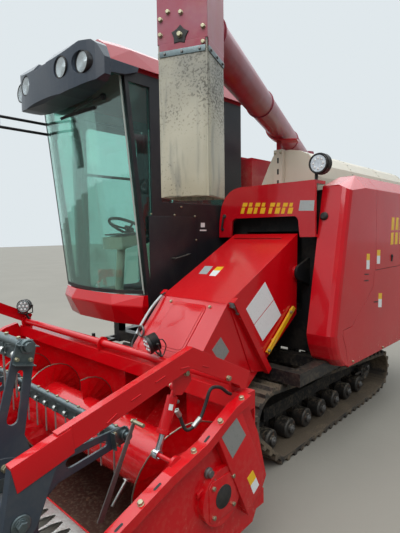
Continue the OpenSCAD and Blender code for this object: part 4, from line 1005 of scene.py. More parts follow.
@dataclass
class Studio:
    """The plain floor, the soft light and the camera."""

    view: View
    floor_colour: Rgb = srgb(136, 132, 122)
    sky_colour: Rgb = srgb(226, 234, 238)

    def camera(self) -> None:
        """Sets the camera where the photograph was taken."""
        right, up, ahead = self.view.axes()
        data = bpy.data.cameras.new("camera")
        data.lens = data.sensor_width * self.view.focal / self.view.height
        made = bpy.data.objects.new("camera", data)
        bpy.context.scene.collection.objects.link(made)
        rows = [(right[i], up[i], -ahead[i], place(self.view.eye)[i]) for i in range(3)]
        made.matrix_world = Matrix((*rows, (0, 0, 0, 1)))
        bpy.context.scene.camera = made

    def floor(self) -> None:
        """Lays a pale floor under the machine."""
        mesh = bmesh.new()
        bmesh.ops.create_grid(mesh, x_segments=4, y_segments=4, size=60.0)
        data = bpy.data.meshes.new("floor")
        mesh.to_mesh(data)
        mesh.free()
        made = bpy.data.objects.new("floor", data)
        bpy.context.scene.collection.objects.link(made)
        paint = bpy.data.materials.new("floor")
        paint.use_nodes = True
        g = Graph(paint.node_tree)
        tone = g.mix(g.noise(0.9, 5.0).ease(0.35, 0.7), shade_of(self.floor_colour, 0.94), self.floor_colour)
        tone = g.mix(
            g.add("ShaderNodeLightPath", output="Is Camera Ray"), shade_of(self.floor_colour, 0.5), tone
        )
        g.output(g.principled(Base_Color=tone, Roughness=0.85, Normal=g.bump(g.noise(40.0, 5.0), 0.004, 0.3)))
        data.materials.append(paint)
        made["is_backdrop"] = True

    def light(self) -> None:
        """Lights the machine as an overcast day does, with one soft lamp for shape."""
        world = bpy.data.worlds.new("studio")
        bpy.context.scene.world = world
        world.use_nodes = True
        g = Graph(world.node_tree)
        way = g.add("ShaderNodeTexCoord", output="Generated")
        rise = g.add("ShaderNodeSeparateXYZ", None, {0: way}, "Z")
        near = g.add("ShaderNodeSeparateXYZ", None, {0: way}, "X").ease(-0.3, 0.7)
        skyline = rise.ease(-0.02, 0.03) * (near * -0.75 + 0.8) + 0.1
        strength = skyline + rise.ease(0.22, 0.7) * (near * 0.75 + 1.0)
        lit = g.add("ShaderNodeBackground", None, {"Color": (0.92, 0.96, 1.0), "Strength": strength})
        rays = [
            g.add("ShaderNodeLightPath", output=f"Is {kind} Ray")
            for kind in ("Camera", "Glossy", "Transmission")
        ]
        clear = rays[1] * (near * -0.65 + rise.ease(0.3, 0.8) * 2.6) + 0.98
        seen = g.add("ShaderNodeBackground", None, {"Color": self.sky_colour, "Strength": clear})
        g.output(
            g.add("ShaderNodeMixShader", None, {0: rays[0].most(rays[1]).most(rays[2]), 1: lit, 2: seen}),
            "ShaderNodeOutputWorld"
        )
        for name, at, size, power in (
            ("key", (2600, -4200, 6200), 4.5, 150.0), ("fill", (-3600, 2500, 4500), 4.0, 40.0)
        ):
            data = bpy.data.lights.new(name, "AREA")
            data.shape, data.size, data.energy = "DISK", size, power
            lamp = bpy.data.objects.new(name, data)
            bpy.context.scene.collection.objects.link(lamp)
            lamp.location = place(at)
            lamp.rotation_mode = "QUATERNION"
            lamp.rotation_quaternion = (place((0, 0, 1100)) - lamp.location).to_track_quat("-Z", "Y")

    def build(self) -> None:
        """Sets up the studio."""
        bpy.context.scene.view_settings.view_transform = "Standard"
        self.camera()
        self.floor()
        self.light()


@dataclass
class Section:
    """A part of the machine, with the means to set labels and bolts on it."""

    machine: Machine

    def label(
        self, name: str, finish: Finish, body: str, node: Union[str, Sequence[str]],
        corners: Sequence[Point], cuts: int = 1, thick: float = 0.8
    ) -> None:
        """Sticks a film on a surface between four or more pixels of the photograph.

        Args:
            name: The piece's name.
            finish: Its finish.
            body: The body that it rides on.
            node: The node or nodes under it.
            corners: Its four corners in order, in pixels.
            cuts: The squares along each side, more than one on a curved surface.
            thick: Its thickness.
        """
        a, b, c, d = (Vector(p) for p in corners)
        grid = []
        for i in range(cuts + 1):
            start, end = a.lerp(d, i / cuts), b.lerp(c, i / cuts)
            grid.append([self.machine.sight(node, start.lerp(end, k / cuts)) for k in range(cuts + 1)])
        Piece(name).plate(grid, thick).build(finish, body)

    def bolts(self, name: str, body: str, seats: Iterable[Seat], across: float = 17.0, washer: bool = True,
              finish: Finish = Finish.BOLT) -> None:
        """Sets bolt heads on surface points."""
        piece = Piece(name)
        for point, normal in seats:
            piece.bolt(point, normal, across, washer)
        piece.build(finish, body)

    def sights(self, node: Union[str, Sequence[str]], spots: Iterable[Point]) -> list[Seat]:
        """The surface points that some pixels of the photograph show."""
        return [self.machine.sight(node, spot) for spot in spots]


def floodlight(name: str, centre: Point, aim: Point, foot: Point, body: str) -> None:
    """Builds a round finned work lamp with its strap, post and cable.

    Args:
        name: The start of its pieces' names.
        centre: The middle of the lamp.
        aim: The direction in which it shines.
        foot: Where its post stands.
        body: The body that it rides on.
    """
    way = Vector(aim).normalized()
    side = way.cross(Vector((0, 0, 1))).normalized()
    up = side.cross(way)
    back = Vector(centre) - way * 40
    fins = [(0, 22), (4, 30)]
    for k in range(7):
        fins += [(6 + 7 * k, 34), (6.1 + 7 * k, 52), (9 + 7 * k, 52), (9.1 + 7 * k, 34)]
    Piece(f"{name}_body").turned(
        back, way, fins + [(56, 56), (72, 56), (75, 53), (75, 0)], 28
    ).build(Finish.BLACK, body, smooth=25)
    face = back + way * 74.5
    Piece(f"{name}_bowl").turned(
        face, way, [(0, 50), (1.5, 49), (0.8, 30), (1.2, 8), (1, 0)], 14
    ).build(Finish.CHROME, body, smooth=5)
    diodes = Piece(f"{name}_diodes")
    for turn in around(6):
        spot = face + (side * math.cos(turn) + up * math.sin(turn)) * 30
        diodes.turned(spot, way, [(0.5, 9), (3, 8), (5, 5), (5.6, 0)], 10)
    diodes.turned(face, way, [(0.5, 9), (3, 8), (5, 5), (5.6, 0)], 10).build(Finish.WHITE_FILM, body)
    strap = Piece(f"{name}_strap")
    hip = Vector(centre) - way * 12
    for sign in (-1, 1):
        ear = hip + side * 60 * sign
        strap.tube([ear, ear - up * 60, hip - up * 76], 5, 8)
        strap.bolt(hip + side * 56 * sign, side * sign, 13)
    strap.tube([hip - up * 70, Vector(foot)], 8, 10).build(Finish.BLACK, body)
    slack = [
        back - way * 2, back - way * 26 - up * 10, back - way * 34 - up * 52, back - way * 12 - up * 84,
        Vector(foot) + Vector((0, 6, 8))
    ]
    Piece(f"{name}_lead").tube(slack, 3.5, 8, 5).build(Finish.RUBBER, body)


@dataclass
class Undercarriage(Section):
    """Chassis, axle, tracks and rollers, with their centres as pairs of y and z."""

    sprocket: Point = (200, 380)
    idler: Point = (2170, 225)
    first_roller: Point = (358, 128)
    roller_run: float = 1528
    rollers: int = 7

    def build(self) -> None:
        """Dresses the undercarriage and caps its wheels."""
        dress = self.machine.dress
        dress(Finish.BLACK, "chassis_frame", "rear_hitch", "boarding_steps")
        dress(Finish.SOOT, "track_frames")
        dress(Finish.GREY, "drive_axle")
        dress(Finish.IRON, "drive_sprockets", "rear_idlers", "ground_rollers")
        dress(Finish.TRACK, "track_left", "track_right")
        domed = [(-1, 31), (4, 31), (8, 26), (9, 17), (14, 16), (18, 9), (19, 0)]
        stepped = [(-1, 52), (4, 52), (8, 44), (9, 30), (14, 27), (17, 0)]
        nut = [(-1, 36), (3, 36), (4, 30), (22, 30), (26, 24), (26, 0)]
        caps = Piece("roller_caps")
        bolts = Piece("wheel_bolts")
        for side in (-1, 1):
            out = (side, 0, 0)
            for k in range(self.rollers):
                y, z = self.first_roller[0] + self.roller_run / (self.rollers - 1) * k, self.first_roller[1]
                caps.turned((800 * side, y, z), out, domed, 20)
            caps.turned((730 * side, *self.sprocket), out, stepped, 24)
            caps.turned((745 * side, *self.idler), out, nut, 6)
            y, z = self.sprocket
            for turn in around(10):
                spot = (676 * side, y + 107 * math.cos(turn), z + 107 * math.sin(turn))
                bolts.bolt(spot, (side, 0, 0), 19)
            y, z = self.idler
            bolts.tube([(759 * side, y - 320, z), (759 * side, y - 60, z)], 11, 12)
            bolts.turned((759 * side, y - 130, z), (0, 1, 0), [(0, 21), (18, 21)], 6)
        caps.build(Finish.HUB, smooth=25)
        bolts.build(Finish.IRON)
        anchors = Piece("idler_anchors")
        for side in (-1, 1):
            x0, x1 = sorted((745 * side, 771 * side))
            anchors.box((x0, 1975, 190), (x1, 2030, 260), 3)
        anchors.build(Finish.BLACK)
        tails = Piece("tail_lamps")
        housings = Piece("tail_lamp_housings")
        for x in (-985, 905):
            housings.box((x - 4, 2979, 606), (x + 84, 2996, 684), 3)
            tails.box((x, 2995, 610), (x + 80, 3006, 680), 4)
        housings.build(Finish.RUBBER)
        tails.build(Finish.TAIL_RED)


@dataclass
class Windscreen:
    """The curved and leaning screen as a surface that trims are laid on."""

    radius: float = 1756.25
    middle: float = -555.0
    back: float = 1666.25
    lean: float = math.radians(6.2)
    foot: Point = (0.0, -150.0, 1187.0)

    def at(self, x: float, rise: float) -> Seat:
        """The outer surface and its normal, at a place across and a height along the lean."""
        across = x - self.middle
        reach = math.sqrt(self.radius**2 - across**2)
        back, up = self._turn(self.back - reach, rise)
        point = Vector((x, self.foot[1] + back, self.foot[2] + up))
        return point, Vector((across, *self._turn(-reach, 0))).normalized()

    def _turn(self, depth: float, rise: float) -> tuple[float, float]:
        """Leans a pair of depth and height forward."""
        c, s = math.cos(self.lean), math.sin(self.lean)
        return depth * c - rise * s, depth * s + rise * c

    def strip(self, xs: Sequence[float], rises: Sequence[float]) -> list[list[Seat]]:
        """A grid of the surface for a plate."""
        return [[self.at(x, r) for x in xs] for r in rises]


@dataclass
class Cab(Section):
    """The driver's cab."""

    middle: float = -555
    visor_half: float = 590

    def build(self) -> None:
        """Dresses the cab and fits it out."""
        dress = self.machine.dress
        dress(Finish.PANEL_BLACK, "cab_floor", "cab_frame", "cab_door", "mirrors")
        dress(Finish.VISOR, "roof_visor")
        dress(Finish.ROOF_RED, "cab_roof")
        dress(Finish.RED, "cab_bumper")
        dress(Finish.SCREEN_GLASS, "windscreen")
        dress(Finish.SIDE_GLASS, "side_glass", "door_glass")
        dress(Finish.CONSOLE, "control_console")
        self.glazing()
        self.wiper()
        self.lamps()
        self.left_wall()
        self.controls()
        self.outside()
        DriverSeat(self.machine).build()

    def glazing(self) -> None:
        """Lays the sealant and rubber round the windscreen."""
        screen = Windscreen()
        rises = [1610 * k / 20 for k in range(21)]
        for name, xs, finish in (
            ("left", (-15, -9, -3), Finish.SEALANT), ("right", (-1106, -1092, -1078), Finish.RUBBER)
        ):
            Piece(f"screen_joint_{name}").plate(screen.strip(xs, rises), 2.0).build(finish)
        xs = [-1100 + 1090 * k / 24 for k in range(25)]
        Piece("screen_foot_seal").plate(screen.strip(xs, [2, 16, 30]), 3.0).build(Finish.RUBBER)

    def wiper(self) -> None:
        """Hangs the wiper under the visor."""
        screen = Windscreen()

        def over(x: float, rise: float, out: float) -> Vector:
            point, normal = screen.at(x, rise)
            return point + normal * out

        xs = [-700 + 450 * k / 10 for k in range(11)]
        blade = Piece("wiper_blade").tube([over(x, 1392, 9) for x in xs], 4.5, 8)
        blade.plate([[(over(x, r, 3), screen.at(x, r)[1]) for r in (1376, 1390)] for x in xs], 3.0)
        blade.build(Finish.RUBBER)
        arm = Piece("wiper_arm").tube(
            [over(-480, 1400, 16), over(-330, 1424, 22), over(-168, 1442, 24)], 5.5, 8
        )
        arm.tube([over(-480, 1398, 16), over(-480, 1390, 8)], 6, 8)
        point, normal = screen.at(-160, 1442)
        arm.turned(point, normal, [(-1, 24), (10, 24), (14, 18), (24, 16), (28, 10), (30, 0)], 18)
        arm.turned(point + normal * 24, normal, [(0, 9), (9, 8), (10, 0)], 6)
        arm.build(Finish.BLACK)

    def lamps(self) -> None:
        """Puts bowl, bulb, rim and glass into the visor's lamps."""
        dress = self.machine.dress
        dress(Finish.BLACK, "work_lamps")
        parts = ("rims", "bowls", "fronts", "bulbs")
        rims, bowls, lenses, bulbs = (Piece(f"visor_lamp_{part}") for part in parts)
        facets = [
            (0, 65.5), (9, 65), (3, 54), (7, 50), (2, 40), (6, 36), (1.5, 27), (5, 23), (1, 14), (1, 0)
        ]
        for x in (-104, -288, -812, -1002):
            share = (x - self.middle) / self.visor_half
            front = -625 + 40 * share**2 + 120 * share**4 + 14
            foot, way = (x, front + 0.5, 2785), (0, -1, 0)
            rims.turned(foot, way, [(0, 74.5), (12, 74.5), (14, 71), (12, 66), (0, 65)], 40, ring=True)
            bowls.turned(foot, way, facets, 14)
            bulbs.turned(foot, way, [(1, 10), (7, 9), (9, 5), (9.3, 0)], 20)
            lenses.turned(foot, way, [(9.5, 66), (11, 66), (13, 40), (13.6, 0)], 40)
        rims.build(Finish.RUBBER)
        bowls.build(Finish.CHROME, smooth=8)
        bulbs.build(Finish.WHITE_FILM)
        lenses.build(Finish.LAMP)

    def left_wall(self) -> None:
        """Bolts, handle, edge and label on the lower left wall."""
        spots = [(151.5, 214), (174.5, 215), (194.7, 216.4), (181, 207), (151.5, 239.5), (196, 240)]
        self.bolts("cab_side_bolts", "machine", self.sights("cab_frame", spots), 13)
        Piece("cab_side_panel").box((-0.5, -95, 1010), (2.5, 404, 1771), 1).build(Finish.PANEL_BLACK)
        handle = [
            (1, 133, 1440), (30, 136, 1441), (40, 150, 1443), (41, 285, 1466), (30, 299, 1468),
            (1, 302, 1468)
        ]
        Piece("cab_side_handle").tube(handle, 7, 10, 3).build(Finish.RUBBER)
        self.label(
            "cab_side_label", Finish.WHITE_FILM, "machine", "cab_frame",
            [(200.8, 222.8), (204.8, 222.8), (204.8, 227.2), (200.8, 227.2)]
        )
        self.label(
            "cab_side_label_foot", Finish.WHITE_FILM, "machine", "cab_frame",
            [(199.8, 229.6), (206.4, 229.6), (206.4, 231), (199.8, 231)]
        )

    def controls(self) -> None:
        """Steering wheel, dash, knob, console face and switches."""
        hub, axis = Vector((-560, 150, 1690)), Vector((0, 0.45, 0.89)).normalized()
        side = Vector((1, 0, 0))
        up = axis.cross(side)
        turns = (*around(40), 2 * math.pi)
        rim = [hub + (side * math.cos(a) + up * math.sin(a)) * 185 for a in turns]
        wheel = Piece("steering_wheel").tube(rim, 13, 10)
        wheel.turned(hub - axis * 30, axis, [(0, 30), (18, 46), (34, 44), (40, 30), (41, 0)], 24)
        for turn in (90, 210, 330):
            way = side * math.cos(math.radians(turn)) + up * math.sin(math.radians(turn))
            wheel.tube([hub + way * 35 - axis * 12, hub + way * 110 - axis * 10, hub + way * 180], 9, 8)
        wheel.tube([hub - axis * 24, (-560, 60, 1560)], 22, 14)
        wheel.build(Finish.RUBBER)
        Piece("dash_face").prism(
            [(-690, -20, 1626), (-430, -20, 1626), (-430, 140, 1636), (-690, 140, 1636)], (0, -1, 14), 4
        ).build(Finish.PANEL_BLACK)
        knob = [(0, 14), (10, 26), (30, 32), (52, 26), (62, 10), (64, 0)]
        Piece("knob_yellow").turned(
            (-110, 300, 1632), (0, 0, 1), [(-4, 12), (60, 10)] + [(60 + a, r) for a, r in knob], 20
        ).build(Finish.SAFETY_PLASTIC)
        Piece("console_face").prism(
            [(-235, 420, 1622), (-60, 420, 1622), (-60, 760, 1617), (-235, 760, 1617)], (0, 0, 8), 2
        ).build(Finish.PANEL_BLACK)
        switches = Piece("console_switches")
        for k in range(10):
            x, y = -215 + 34 * (k % 5), 470 + 70 * (k // 5)
            switches.box((x, y, 1626), (x + 20, y + 38, 1640), 4)
        switches.build(Finish.RUBBER)

    def outside(self) -> None:
        """Mirror glass, hinges, door bar and grab rails on the right."""
        inner = [
            (-1092, -60, 2494), (-1066, -50, 2498), (-1060, -24, 2502), (-1060, 22, 2492),
            (-1060, 32, 2456), (-1060, -9, 1663), (-1092, -12, 1640)
        ]
        Piece("cab_inner_rail").tube(inner, 12, 12, 3).build(Finish.RUBBER)
        Piece("door_cross_bar").box((-1113, 60, 2188), (-1103, 715, 2214), 3).build(Finish.RUBBER, "door")
        Piece("mirror_glass").prism(
            [(-1370, -799, 2208), (-1158, -799, 2208), (-1158, -799, 2492), (-1370, -799, 2492)], (0, 4, 0),
            1
        ).build(Finish.MIRROR)
        clamps = Piece("mirror_clamps")
        for z in (2521, 2606):
            clamps.turned((-1130, -815, z), (0, 0, 1), [(-20, 20), (-18, 22), (18, 22), (20, 20)], 18)
            clamps.bolt((-1130, -836, z), (0, -1, 0), 13)
        clamps.build(Finish.BLACK)
        hinges = Piece("cab_door_hinges")
        for z in (1250, 2350):
            hinges.turned((-1122, 786, z), (0, 0, 1), [(0, 13), (2, 15), (88, 15), (90, 13)], 16)
            hinges.bolt((-1110, 812, z + 25), (-1, 0, 0), 13)
            hinges.bolt((-1110, 812, z + 65), (-1, 0, 0), 13)
        hinges.build(Finish.BLACK)
        rail = [
            (-1108, 900, 1150), (-1150, 900, 1152), (-1160, 900, 1180), (-1160, 900, 1900),
            (-1150, 900, 1928), (-1108, 900, 1930)
        ]
        Piece("cab_grab_rail").tube(rail, 13, 12, 3).build(Finish.BLACK)


@dataclass
class DriverSeat(Section):
    """The seat: two sewn cushions, two arm pads and the stand under them."""

    middle: float = -555.0
    floor: float = 990.0

    def build(self) -> None:
        """Builds the seat in place of its plain solid."""
        stand = Piece("seat_stand")
        stand.box((self.middle - 170, 500, self.floor), (self.middle + 170, 790, self.floor + 24), 4)
        for k in range(6):
            grow = 12 * (k % 2)
            stand.box((self.middle - 128 - grow, 512 - grow, self.floor + 24 + 38 * k),
                      (self.middle + 128 + grow, 778 + grow, self.floor + 62 + 38 * k), 5)
        stand.box((self.middle - 225, 430, self.floor + 250), (self.middle + 225, 835, self.floor + 330), 12)
        for side in (-1, 1):
            x = self.middle + side * 276
            post = [(x, 730, self.floor + 405), (x, 730, self.floor + 560)]
            stand.tube(post, 15, 12)
            inner = (self.middle + side * 200, 730, self.floor + 310)
            stand.tube([inner, (x, 730, self.floor + 315), (x, 730, self.floor + 410)], 14, 12, 3)
        made = stand.build(Finish.PANEL_BLACK)
        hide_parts("operator_seat")
        self.cushion("seat_cushion", (0, 630, self.floor + 385), (236, 214, 48), 0.0)
        self.cushion("seat_back", (0, 853, self.floor + 735), (226, 40, 300), -4.5)
        for side, name in ((-1, "arm_pad_right"), (1, "arm_pad_left")):
            self.cushion(name, (side * 276, 640, self.floor + 585), (22, 152, 21), 0.0, seams=False)

    def cushion(self, name: str, centre: Point, half: Point, lean: float, seams: bool = True) -> None:
        """Makes one padded piece: a crowned form, inflated as cloth, then channelled.

        Args:
            name: Its name.
            centre: Its middle, measured from the seat's middle across.
            half: Its half sizes.
            lean: How far it leans back, in degrees.
            seams: Whether channels are sewn across it.
        """
        mesh = bmesh.new()
        bmesh.ops.create_cube(mesh, size=2.0)
        bmesh.ops.subdivide_edges(mesh, edges=mesh.edges[:], cuts=7, use_grid_fill=True)
        for vert in mesh.verts:
            x, y, z = vert.co
            crown = Vector((x, y, z))
            for axis in range(3):
                others = [crown[k] for k in range(3) if k != axis]
                inset = 0.1 * (abs(others[0]) ** 4 + abs(others[1]) ** 4) / 2
                inset += 0.05 * others[0] ** 2 * others[1] ** 2
                vert.co[axis] = crown[axis] * (0.94 - inset)
            vert.co = Vector(vert.co[k] * half[k] for k in range(3)) * MM
        data = bpy.data.meshes.new(name)
        mesh.to_mesh(data)
        mesh.free()
        made = bpy.data.objects.new(name, data)
        bpy.context.scene.collection.objects.link(made)
        self.inflate(made, 0.012 if min(half) > 30 else 0.005)
        self.sew(made, half, seams)
        turn = Matrix.Rotation(math.radians(lean), 4, "X")
        shift = Matrix.Translation(place((self.middle + centre[0], centre[1], centre[2])))
        made.data.transform(shift @ turn)
        made.data.shade_smooth()
        made.data.materials.append(material(Finish.SEAT_CLOTH))
        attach(made, "machine")
        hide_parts("operator_seat")
        LOG.info("%s: %d faces", name, len(made.data.polygons))

    @staticmethod
    def apply(made: bpy.types.Object, kind: str, **settings: object) -> None:
        """Adds a modifier, sets it up and bakes it into the mesh."""
        modifier = made.modifiers.new(kind.lower(), kind)
        for name, value in settings.items():
            setattr(modifier, name, value)
        bpy.context.view_layer.update()
        DriverSeat.bake(made)

    @staticmethod
    def bake(made: bpy.types.Object) -> None:
        """Puts what the modifiers give in the mesh's place and takes them off."""
        baked = bpy.data.meshes.new_from_object(made.evaluated_get(bpy.context.evaluated_depsgraph_get()))
        made.modifiers.clear()
        old, made.data = made.data, baked
        bpy.data.meshes.remove(old)

    def inflate(self, made: bpy.types.Object, limit: float) -> None:
        """Swells the piece as cloth under pressure, with no point moved further than a limit.

        Args:
            made: The piece, at the origin.
            limit: The furthest that a point may move, in metres.
        """
        self.apply(made, "REMESH", mode="VOXEL", voxel_size=0.006)
        start = [v.co.copy() for v in made.data.vertices]
        cloth = made.modifiers.new("cloth", "CLOTH").settings
        cloth.use_pressure = True
        cloth.uniform_pressure_force = 4.0
        cloth.effector_weights.gravity = 0.0
        for frame in range(1, 21):
            bpy.context.scene.frame_set(frame)
        self.bake(made)
        for vert, rest in zip(made.data.vertices, start):
            move = vert.co - rest
            if move.length > limit:
                vert.co = rest + move * (limit / move.length)
        bpy.context.scene.frame_set(1)

    @staticmethod
    def sew(made: bpy.types.Object, half: Point, seams: bool) -> None:
        """Pulls the sewn channels and the edge seam into the piece and keeps it in its space."""
        long_axis = 2 if half[2] > half[1] else 1
        flat_axis = 1 if long_axis == 2 else 2
        for vert in made.data.vertices:
            along, across = vert.co[long_axis] / MM, vert.co[0] / MM
            facing = max(0.0, min(1.0, abs(vert.co[flat_axis]) / (half[flat_axis] * MM) * 2 - 1))
            if seams:
                depth = 0.0
                for seam in (-0.55, -0.2, 0.15, 0.5):
                    depth = max(depth, math.exp(-(((along - seam * half[long_axis]) / 7) ** 2)))
                inside = abs(across) < half[0] * 0.66
                edge = math.exp(-(((abs(across) - half[0] * 0.68) / 6) ** 2))
                vert.co[flat_axis] *= 1 - 0.16 * facing * max(depth if inside else 0.0, edge)
            for axis in range(3):
                most = half[axis] * MM
                vert.co[axis] = max(-most, min(most, vert.co[axis]))


@dataclass
class Body(Section):
    """Threshing body, covers, tank and engine."""

    lamp: Point = (960, 690.5, 2126)

    def build(self) -> None:
        """Dresses the body and adds its fittings."""
        dress = self.machine.dress
        dress(
            Finish.COVER_RED, "front_cover", "left_front_cover", "left_upper_door", "left_lower_cover",
            "straw_hood"
        )
        dress(Finish.SOOT, "thresher_body")
        dress(Finish.DEEP_RED, "grain_tank", "tank_lid")
        dress(Finish.CREAM, "thresher_hood")
        dress(Finish.GREY, "engine_block")
        dress(Finish.BLACK, "engine_screen", "fuel_tank")
        dress(Finish.IRON, "exhaust_pipe")
        self.front()
        self.left_side()
        self.hood()
        self.right_side()

    def front(self) -> None:
        """Marks, latch, knob and lamp of the front cover."""
        for k in range(8):
            u = 240.5 + 6.4 * k + (2.0 if k > 3 else 0.0)
            for part, (top, foot) in enumerate(((202.8, 206.6), (207.6, 213.6))):
                upper, lower = u + (213.6 - top) * 0.25, u + (213.6 - foot) * 0.25
                wide = 3.2 if (k + part) % 2 else 4.6
                corners = [(upper, top), (upper + wide, top), (lower + wide, foot), (lower, foot)]
                name = f"front_mark_{k + 1}_{part}"
                self.label(name, Finish.YELLOW_FILM, "machine", "front_cover", corners)
        self.label(
            "front_label", Finish.SILVER_FILM, "machine", "front_cover",
            [(300.2, 200.3), (314.5, 200.3), (313.6, 210.7), (298.6, 210.7)]
        )
        point, normal = self.machine.sight("left_front_cover", (324.4, 216.3))
        knob = [(-1, 30), (5, 31), (9, 28), (18, 26), (24, 20), (26, 0)]
        Piece("front_knob").turned(point, normal, knob, 24).build(Finish.RUBBER)
        upper, out = self.machine.sight("front_cover", (224.6, 216.5))
        lower, _ = self.machine.sight("front_cover", (222.8, 229.5))
        latch = Piece("front_latch").tube(
            [upper + out * 2, upper + out * 16, lower + out * 16, lower + out * 2], 8, 10
        )
        latch.turned(upper, out, [(-1, 19), (6, 18), (9, 12), (10, 0)], 20)
        latch.turned(lower, out, [(-1, 15), (6, 14), (9, 9), (10, 0)], 18)
        latch.build(Finish.RUBBER)
        x, y, z = self.lamp
        lamp = Piece("cover_lamp_rim")
        lamp.turned(self.lamp, (0, -1, 0), [(0, 72), (7, 72), (8, 69), (6, 62), (0, 61)], 36, ring=True)
        for k in range(9):
            fin = [(0, 68), (0.1, 77), (3, 77), (3.1, 68)]
            lamp.turned((x, y + 11.5 + 6 * k, z), (0, 1, 0), fin, 32, ring=True)
        lamp.build(Finish.BLACK)
        bowl = Piece("cover_lamp_bowl")
        bowl.turned(self.lamp, (0, -1, 0), [(0, 62), (2, 61), (1, 40), (1.5, 12), (1, 0)], 14)
        bowl.build(Finish.CHROME, smooth=5)
        dots = Piece("cover_lamp_diodes")
        for turn in around(8):
            spot = (x + 38 * math.cos(turn), y - 0.5, z + 38 * math.sin(turn))
            dots.turned(spot, (0, -1, 0), [(0, 10), (3, 9), (5.5, 5), (6, 0)], 10)
        dots.build(Finish.WHITE_FILM)

    def left_side(self) -> None:
        """Labels, latches, painted shade of the slots, and marks of the left covers."""
        stickers = (
            ("front", "machine", "left_front_cover", (366.4, 253.7, 369.9, 269.2)),
            ("door", "upper_door", "left_upper_door", (376.8, 249.9, 380.4, 263.8)),
            ("lower", "machine", "left_lower_cover", (378.2, 293.1, 382.0, 307.2)),
        )
        for name, body, node, (left, top, right, foot) in stickers:
            cut = top + 0.42 * (foot - top)
            self.label(
                f"{name}_sticker_top", Finish.YELLOW_FILM, body, node,
                [(left + 0.4, top), (right, top), (right - 0.2, cut), (left + 0.2, cut)]
            )
            self.label(
                f"{name}_sticker_foot", Finish.WHITE_FILM, body, node,
                [(left + 0.2, cut), (right - 0.2, cut), (right - 0.5, foot), (left, foot)]
            )
        for k in range(8):
            low, wide = 1640 + 105 * k, 62
            mark = Piece(f"door_mark_{k + 1}")
            for foot, head in ((1515, 1620), (1640, 1750)):
                shift = (foot - 1515) * 0.09
                near, far = low + shift, low + shift + wide
                mark.slab(1144.8, ((near, foot), (far, foot), (far + 10, head), (near + 10, head)), 1.2)
            mark.build(Finish.YELLOW_FILM, "upper_door")
        latch = Piece("door_latches")
        for y in (1660, 2500):
            latch.box((1143, y, 1372), (1152, y + 26, 1430), 3)
            latch.turned((1150, y + 13, 1414), (1, 0, 0), [(0, 9), (6, 8), (8, 4), (8, 0)], 16)
        latch.build(Finish.RUBBER, "upper_door")
        # Painted shade: dark films where the slots in the covers are.
        for name, node, spot in (
            ("upper", "left_front_cover", (366.7, 274.4)), ("lower", "left_front_cover", (366.3, 280.8)),
            ("cover", "left_lower_cover", (376.0, 302.0))
        ):
            u, v = spot
            self.label(
                f"slot_{name}", Finish.PAINTED_SHADE, "machine", node,
                [(u - 2.2, v - 0.5), (u + 2.2, v - 0.8), (u + 2.2, v + 0.3), (u - 2.2, v + 0.6)], thick=0.6
            )
        seam = Piece("lower_cover_bolts")
        for y, z in ((900, 660), (1500, 645), (2100, 640), (2700, 640), (2860, 780), (2860, 1250)):
            seam.bolt((1145, y, z), (1, 0, 0), 15)
        seam.build(Finish.BOLT)
        handle = [
            (1144, 2120, 760), (1166, 2120, 762), (1172, 2135, 764), (1172, 2265, 764), (1166, 2280, 762),
            (1144, 2280, 760)
        ]
        Piece("lower_cover_handle").tube(handle, 8, 10, 3).build(Finish.RUBBER)
        hinge = Piece("upper_door_hinges")
        for y in (1480, 2600):
            hinge.turned((962, y, 2066), (0, 1, 0), [(0, 10), (2, 12), (118, 12), (120, 10)], 14)
        hinge.build(Finish.BLACK, "upper_door")

    def hood(self) -> None:
        """Rivets and flanges on the pale hood."""
        section = [
            (849, 2060), (830, 2160), (770, 2240), (690, 2280), (600, 2300), (500, 2300), (440, 2270),
            (400, 2200), (325, 2050)
        ]
        rivets = Piece("hood_rivets")
        bands = Piece("hood_bands")
        for y in (925, 1560, 2220, 2875):
            grid = []
            for a, b in zip(section, section[1:]):
                run = Vector((b[0] - a[0], b[1] - a[1]))
                normal = Vector((run.y, 0, -run.x)).normalized()
                count = max(1, round(run.length / 48))
                for k in range(count):
                    x, z = a[0] + run.x * (k + 0.5) / count, a[1] + run.y * (k + 0.5) / count
                    rivets.turned((x, y, z), normal, [(-1, 6.5), (2, 6.5), (4.2, 4), (4.8, 0)], 10)
            for i, (x, z) in enumerate(section):
                before = Vector(section[max(i - 1, 0)])
                after = Vector(section[min(i + 1, len(section) - 1)])
                run = after - before
                normal = Vector((run.y, 0, -run.x)).normalized()
                grid.append([(Vector((x, y + w, z)), normal) for w in (-20, 20)])
            bands.plate(grid, 1.6)
        rivets.build(Finish.GREY_FILM)
        bands.build(Finish.CREAM, smooth=10)

